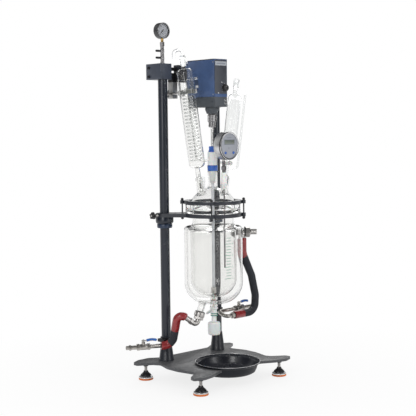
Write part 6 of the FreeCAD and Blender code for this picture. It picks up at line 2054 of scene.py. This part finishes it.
# Hose clips. Black rings clamped round the columns; the left one holds the hose in two hooks, the
# right one carries the return pipe on its arm.
def column_band(x, low, high):
    """A split ring round a column."""
    return sleeve(
        black_oxide,
        [(18.4, low + 0.3), (18.7, low), (22.6, low), (23.25, low + 0.7), (23.25, high - 0.7), (22.6, high),
         (18.7, high), (18.4, high - 0.3)],
        moved(x, column_y, 0), steps=72,
    )


clip_shapes = [column_band(-column_x, 150, 164), column_band(column_x, 231, 245)]
hose_hollow = bmesh.new()
hollow_points, hollow_loops, _ = swept(
    black_oxide, rounded_run(left_hose_points, left_hose_bends, 2.5), 15.9, steps=48,
)
hollow_verts = [hose_hollow.verts.new(point) for point in hollow_points]
for loop in hollow_loops:
    hose_hollow.faces.new([hollow_verts[k] for k in loop])
hook = carved(
    prism([(-178, 96), (-166, 96), (-166, 120), (-154, 120), (-154, 132), (-178, 132)], 151.2, 162.8),
    taken=[hose_hollow], width=0.8,
)
clip_shapes.append(shape_of(hook, black_oxide))
arm = carved(
    prism([(114.4, 81), (127.6, 81), (127.6, 116), (122, 122), (114.4, 126)], 232.2, 243.8),
    taken=[disc(8.25, -60, 60, place=moved(120, 85, 238) @ tilted(90, "Y"), steps=48)], width=0.8,
)
clip_shapes.append(shape_of(arm, black_oxide))
for x, z in ((-column_x, 157), (column_x, 238)):
    clip_shapes.append(socket_screw(black_oxide, 3.4, 2.4, aim((x, 152.8, z), (0, 1, 0))))
piece("hose_clips_bent", "stand", clip_shapes, node="hose_clips")


# Vacuum gauge. A steel pipe with two side nipples in black sleeves screws into the left top block and
# carries a 60 mm gauge by its brass thread: dark case, grey dial, black needle and a flat glass.
brass = finish(
    "machined_brass", (0.58, 0.38, 0.13), 0.30, metallic=1, grain=0.7, depth=0.06, patch=16, wear=0.2,
    wear_colour=(0.7, 0.5, 0.2), dust=0.03,
)
dial_enamel = finish(
    "grey_dial_enamel", (0.42, 0.43, 0.475), 0.36, grain=0.6, depth=0.05, patch=20, mottle=0.03, wear=0,
    dust=0.01,
)
dial_black = finish(
    "dial_print_black", (0.015, 0.015, 0.016), 0.5, grain=0.5, depth=0.04, mottle=0.05, wear=0, dust=0,
)
gauge_steel = finish(
    "blackened_gauge_case", (0.055, 0.056, 0.06), 0.30, metallic=0.6, depth=0.08, wear=0.35,
    wear_colour=(0.3, 0.3, 0.3), coat=0.1,
)
pipe_spot = moved(-column_x, column_y, 0)
gauge_shapes = [
    turned(
        chuck_steel,
        [(0, 1225.2), (8.6, 1225.2), (8.6, 1229), (7, 1230), (7, 1240), (7.6, 1241), (7.6, 1253), (7, 1254),
         (7, 1266.4), (7.6, 1267.2), (7.6, 1279), (7, 1280), (7, 1291.2), (0, 1291.2)],
        pipe_spot, steps=56,
    ),
    hexagon(chuck_steel, 9, 1291, 1307, pipe_spot),
    turned(
        brass,
        [(0, 1307), (5.4, 1307)]
        + [(5.5 - 0.45 * (k % 2), 1308.2 + 0.8 * k) for k in range(9)]
        + [(5.5, 1316), (5.5, 1319.3), (0, 1319.3)],
        pipe_spot, steps=40,
    ),
]
for level in (1247, 1273):
    nipple = aim((-141, 130, level), (-1, 0, 0))
    gauge_shapes.append(turned(
        chuck_steel, [(0, 0), (3.2, 0), (3.2, 3.4), (4.2, 3.8), (4.2, 7.6), (3.2, 8), (3.2, 9.4), (0, 9.4)],
        nipple, steps=32,
    ))
    gauge_shapes.append(turned(
        black_oxide,
        [(0, 9.5), (3.9, 9.5)]
        + [
            spot
            for k in range(4)
            for spot in ((4.3, 10.4 + 3.6 * k), (4.3, 11.4 + 3.6 * k), (3.3, 13 + 3.6 * k))
        ]
        + [(4, 25), (3.6, 26), (1.6, 26), (1.5, 20), (0, 20)],
        nipple, steps=36,
    ))
piece("gauge_pipe_turned", "stand", gauge_shapes, node="gauge_pipe")
gauge_place = moved(-column_x, 147, 1350) @ tilted(90, "X")
piece(
    "gauge_case_pressed", "stand",
    [
        turned(
            gauge_steel,
            [(0, 0), (26, 0), (28.6, 0.6), (30, 2), (30.4, 3.6), (30.4, 23.6), (29.8, 24.2), (29.8, 24.9),
             (30.4, 25.4), (30.4, 27.2), (29.6, 28), (27.4, 28), (26.9, 27.4), (26.9, 26.8), (28.8, 26.2),
             (28.8, 3.2), (0, 2.9)],
            gauge_place, steps=112,
        ),
        sleeve(polished_steel, [(27, 27.8), (29.4, 27.9), (29, 28.3), (27.6, 28.3)], gauge_place, steps=112),
    ],
    node="gauge_case",
)
dial_shapes = [
    turned(
        dial_enamel, [(0, 3.2), (28.4, 3.2), (28.6, 3.6), (28.6, 19.6), (28.2, 20), (0, 20)], gauge_place,
        steps=96,
    ),
    turned(turned_steel, [(0, 19.8), (1.45, 19.8), (1.45, 23.6), (0, 23.8)], gauge_place, steps=20),
]
for mark in range(51):
    spot = gauge_place @ tilted(225 - 5.4 * mark, "Z")
    long, wide = (5.2, 0.55) if mark % 10 == 0 else ((3.8, 0.35) if mark % 5 == 0 else (2.2, 0.2))
    dial_shapes.append(block(
        dial_black, (24.4 - long, -wide / 2, 19.95), (24.4, wide / 2, 20.12), 0.03, spot, segments=1,
    ))
for step in range(61):
    spot = gauge_place @ tilted(225 - 4.5 * step, "Z")
    dial_shapes.append(block(dial_black, (24.7, -1, 19.95), (25.1, 1, 20.1), 0.02, spot, segments=1))
dial_shapes.append(block(dial_black, (-6.4, -9.6, 19.95), (6.4, -8.6, 20.1), 0.05, gauge_place))
dial_shapes.append(block(dial_black, (-4, -12.2, 19.95), (4, -11.4, 20.1), 0.05, gauge_place))
piece("gauge_dial_printed", "stand", dial_shapes, node="gauge_dial")
piece(
    "gauge_window_glass", "stand",
    [turned(
        vessel_clear, [(0, 24.2), (28.3, 24.2), (28.6, 24.5), (28.6, 25.5), (28.3, 25.8), (0, 25.8)],
        gauge_place, steps=96,
    )],
    node="gauge_window",
)
hand_place = gauge_place @ tilted(225, "Z")
hand_line = [(-6, -1.5), (-2.6, -1.1), (2.4, -1.2), (21, -0.3), (21, 0.3), (2.4, 1.2), (-2.6, 1.1), (-6, 1.5)]
hand = placed(softened(prism(hand_line, 21.6, 22.6), 0.15, segments=1), hand_place)
piece(
    "gauge_needle_pressed", "gauge_needle",
    [
        shape_of(hand, dial_black),
        sleeve(
            dial_black, [(1.55, 21.55), (3, 21.55), (3.2, 21.8), (3.2, 22.4), (2.8, 22.7), (1.55, 22.7)],
            gauge_place, steps=32,
        ),
    ],
    node="gauge_needle",
)
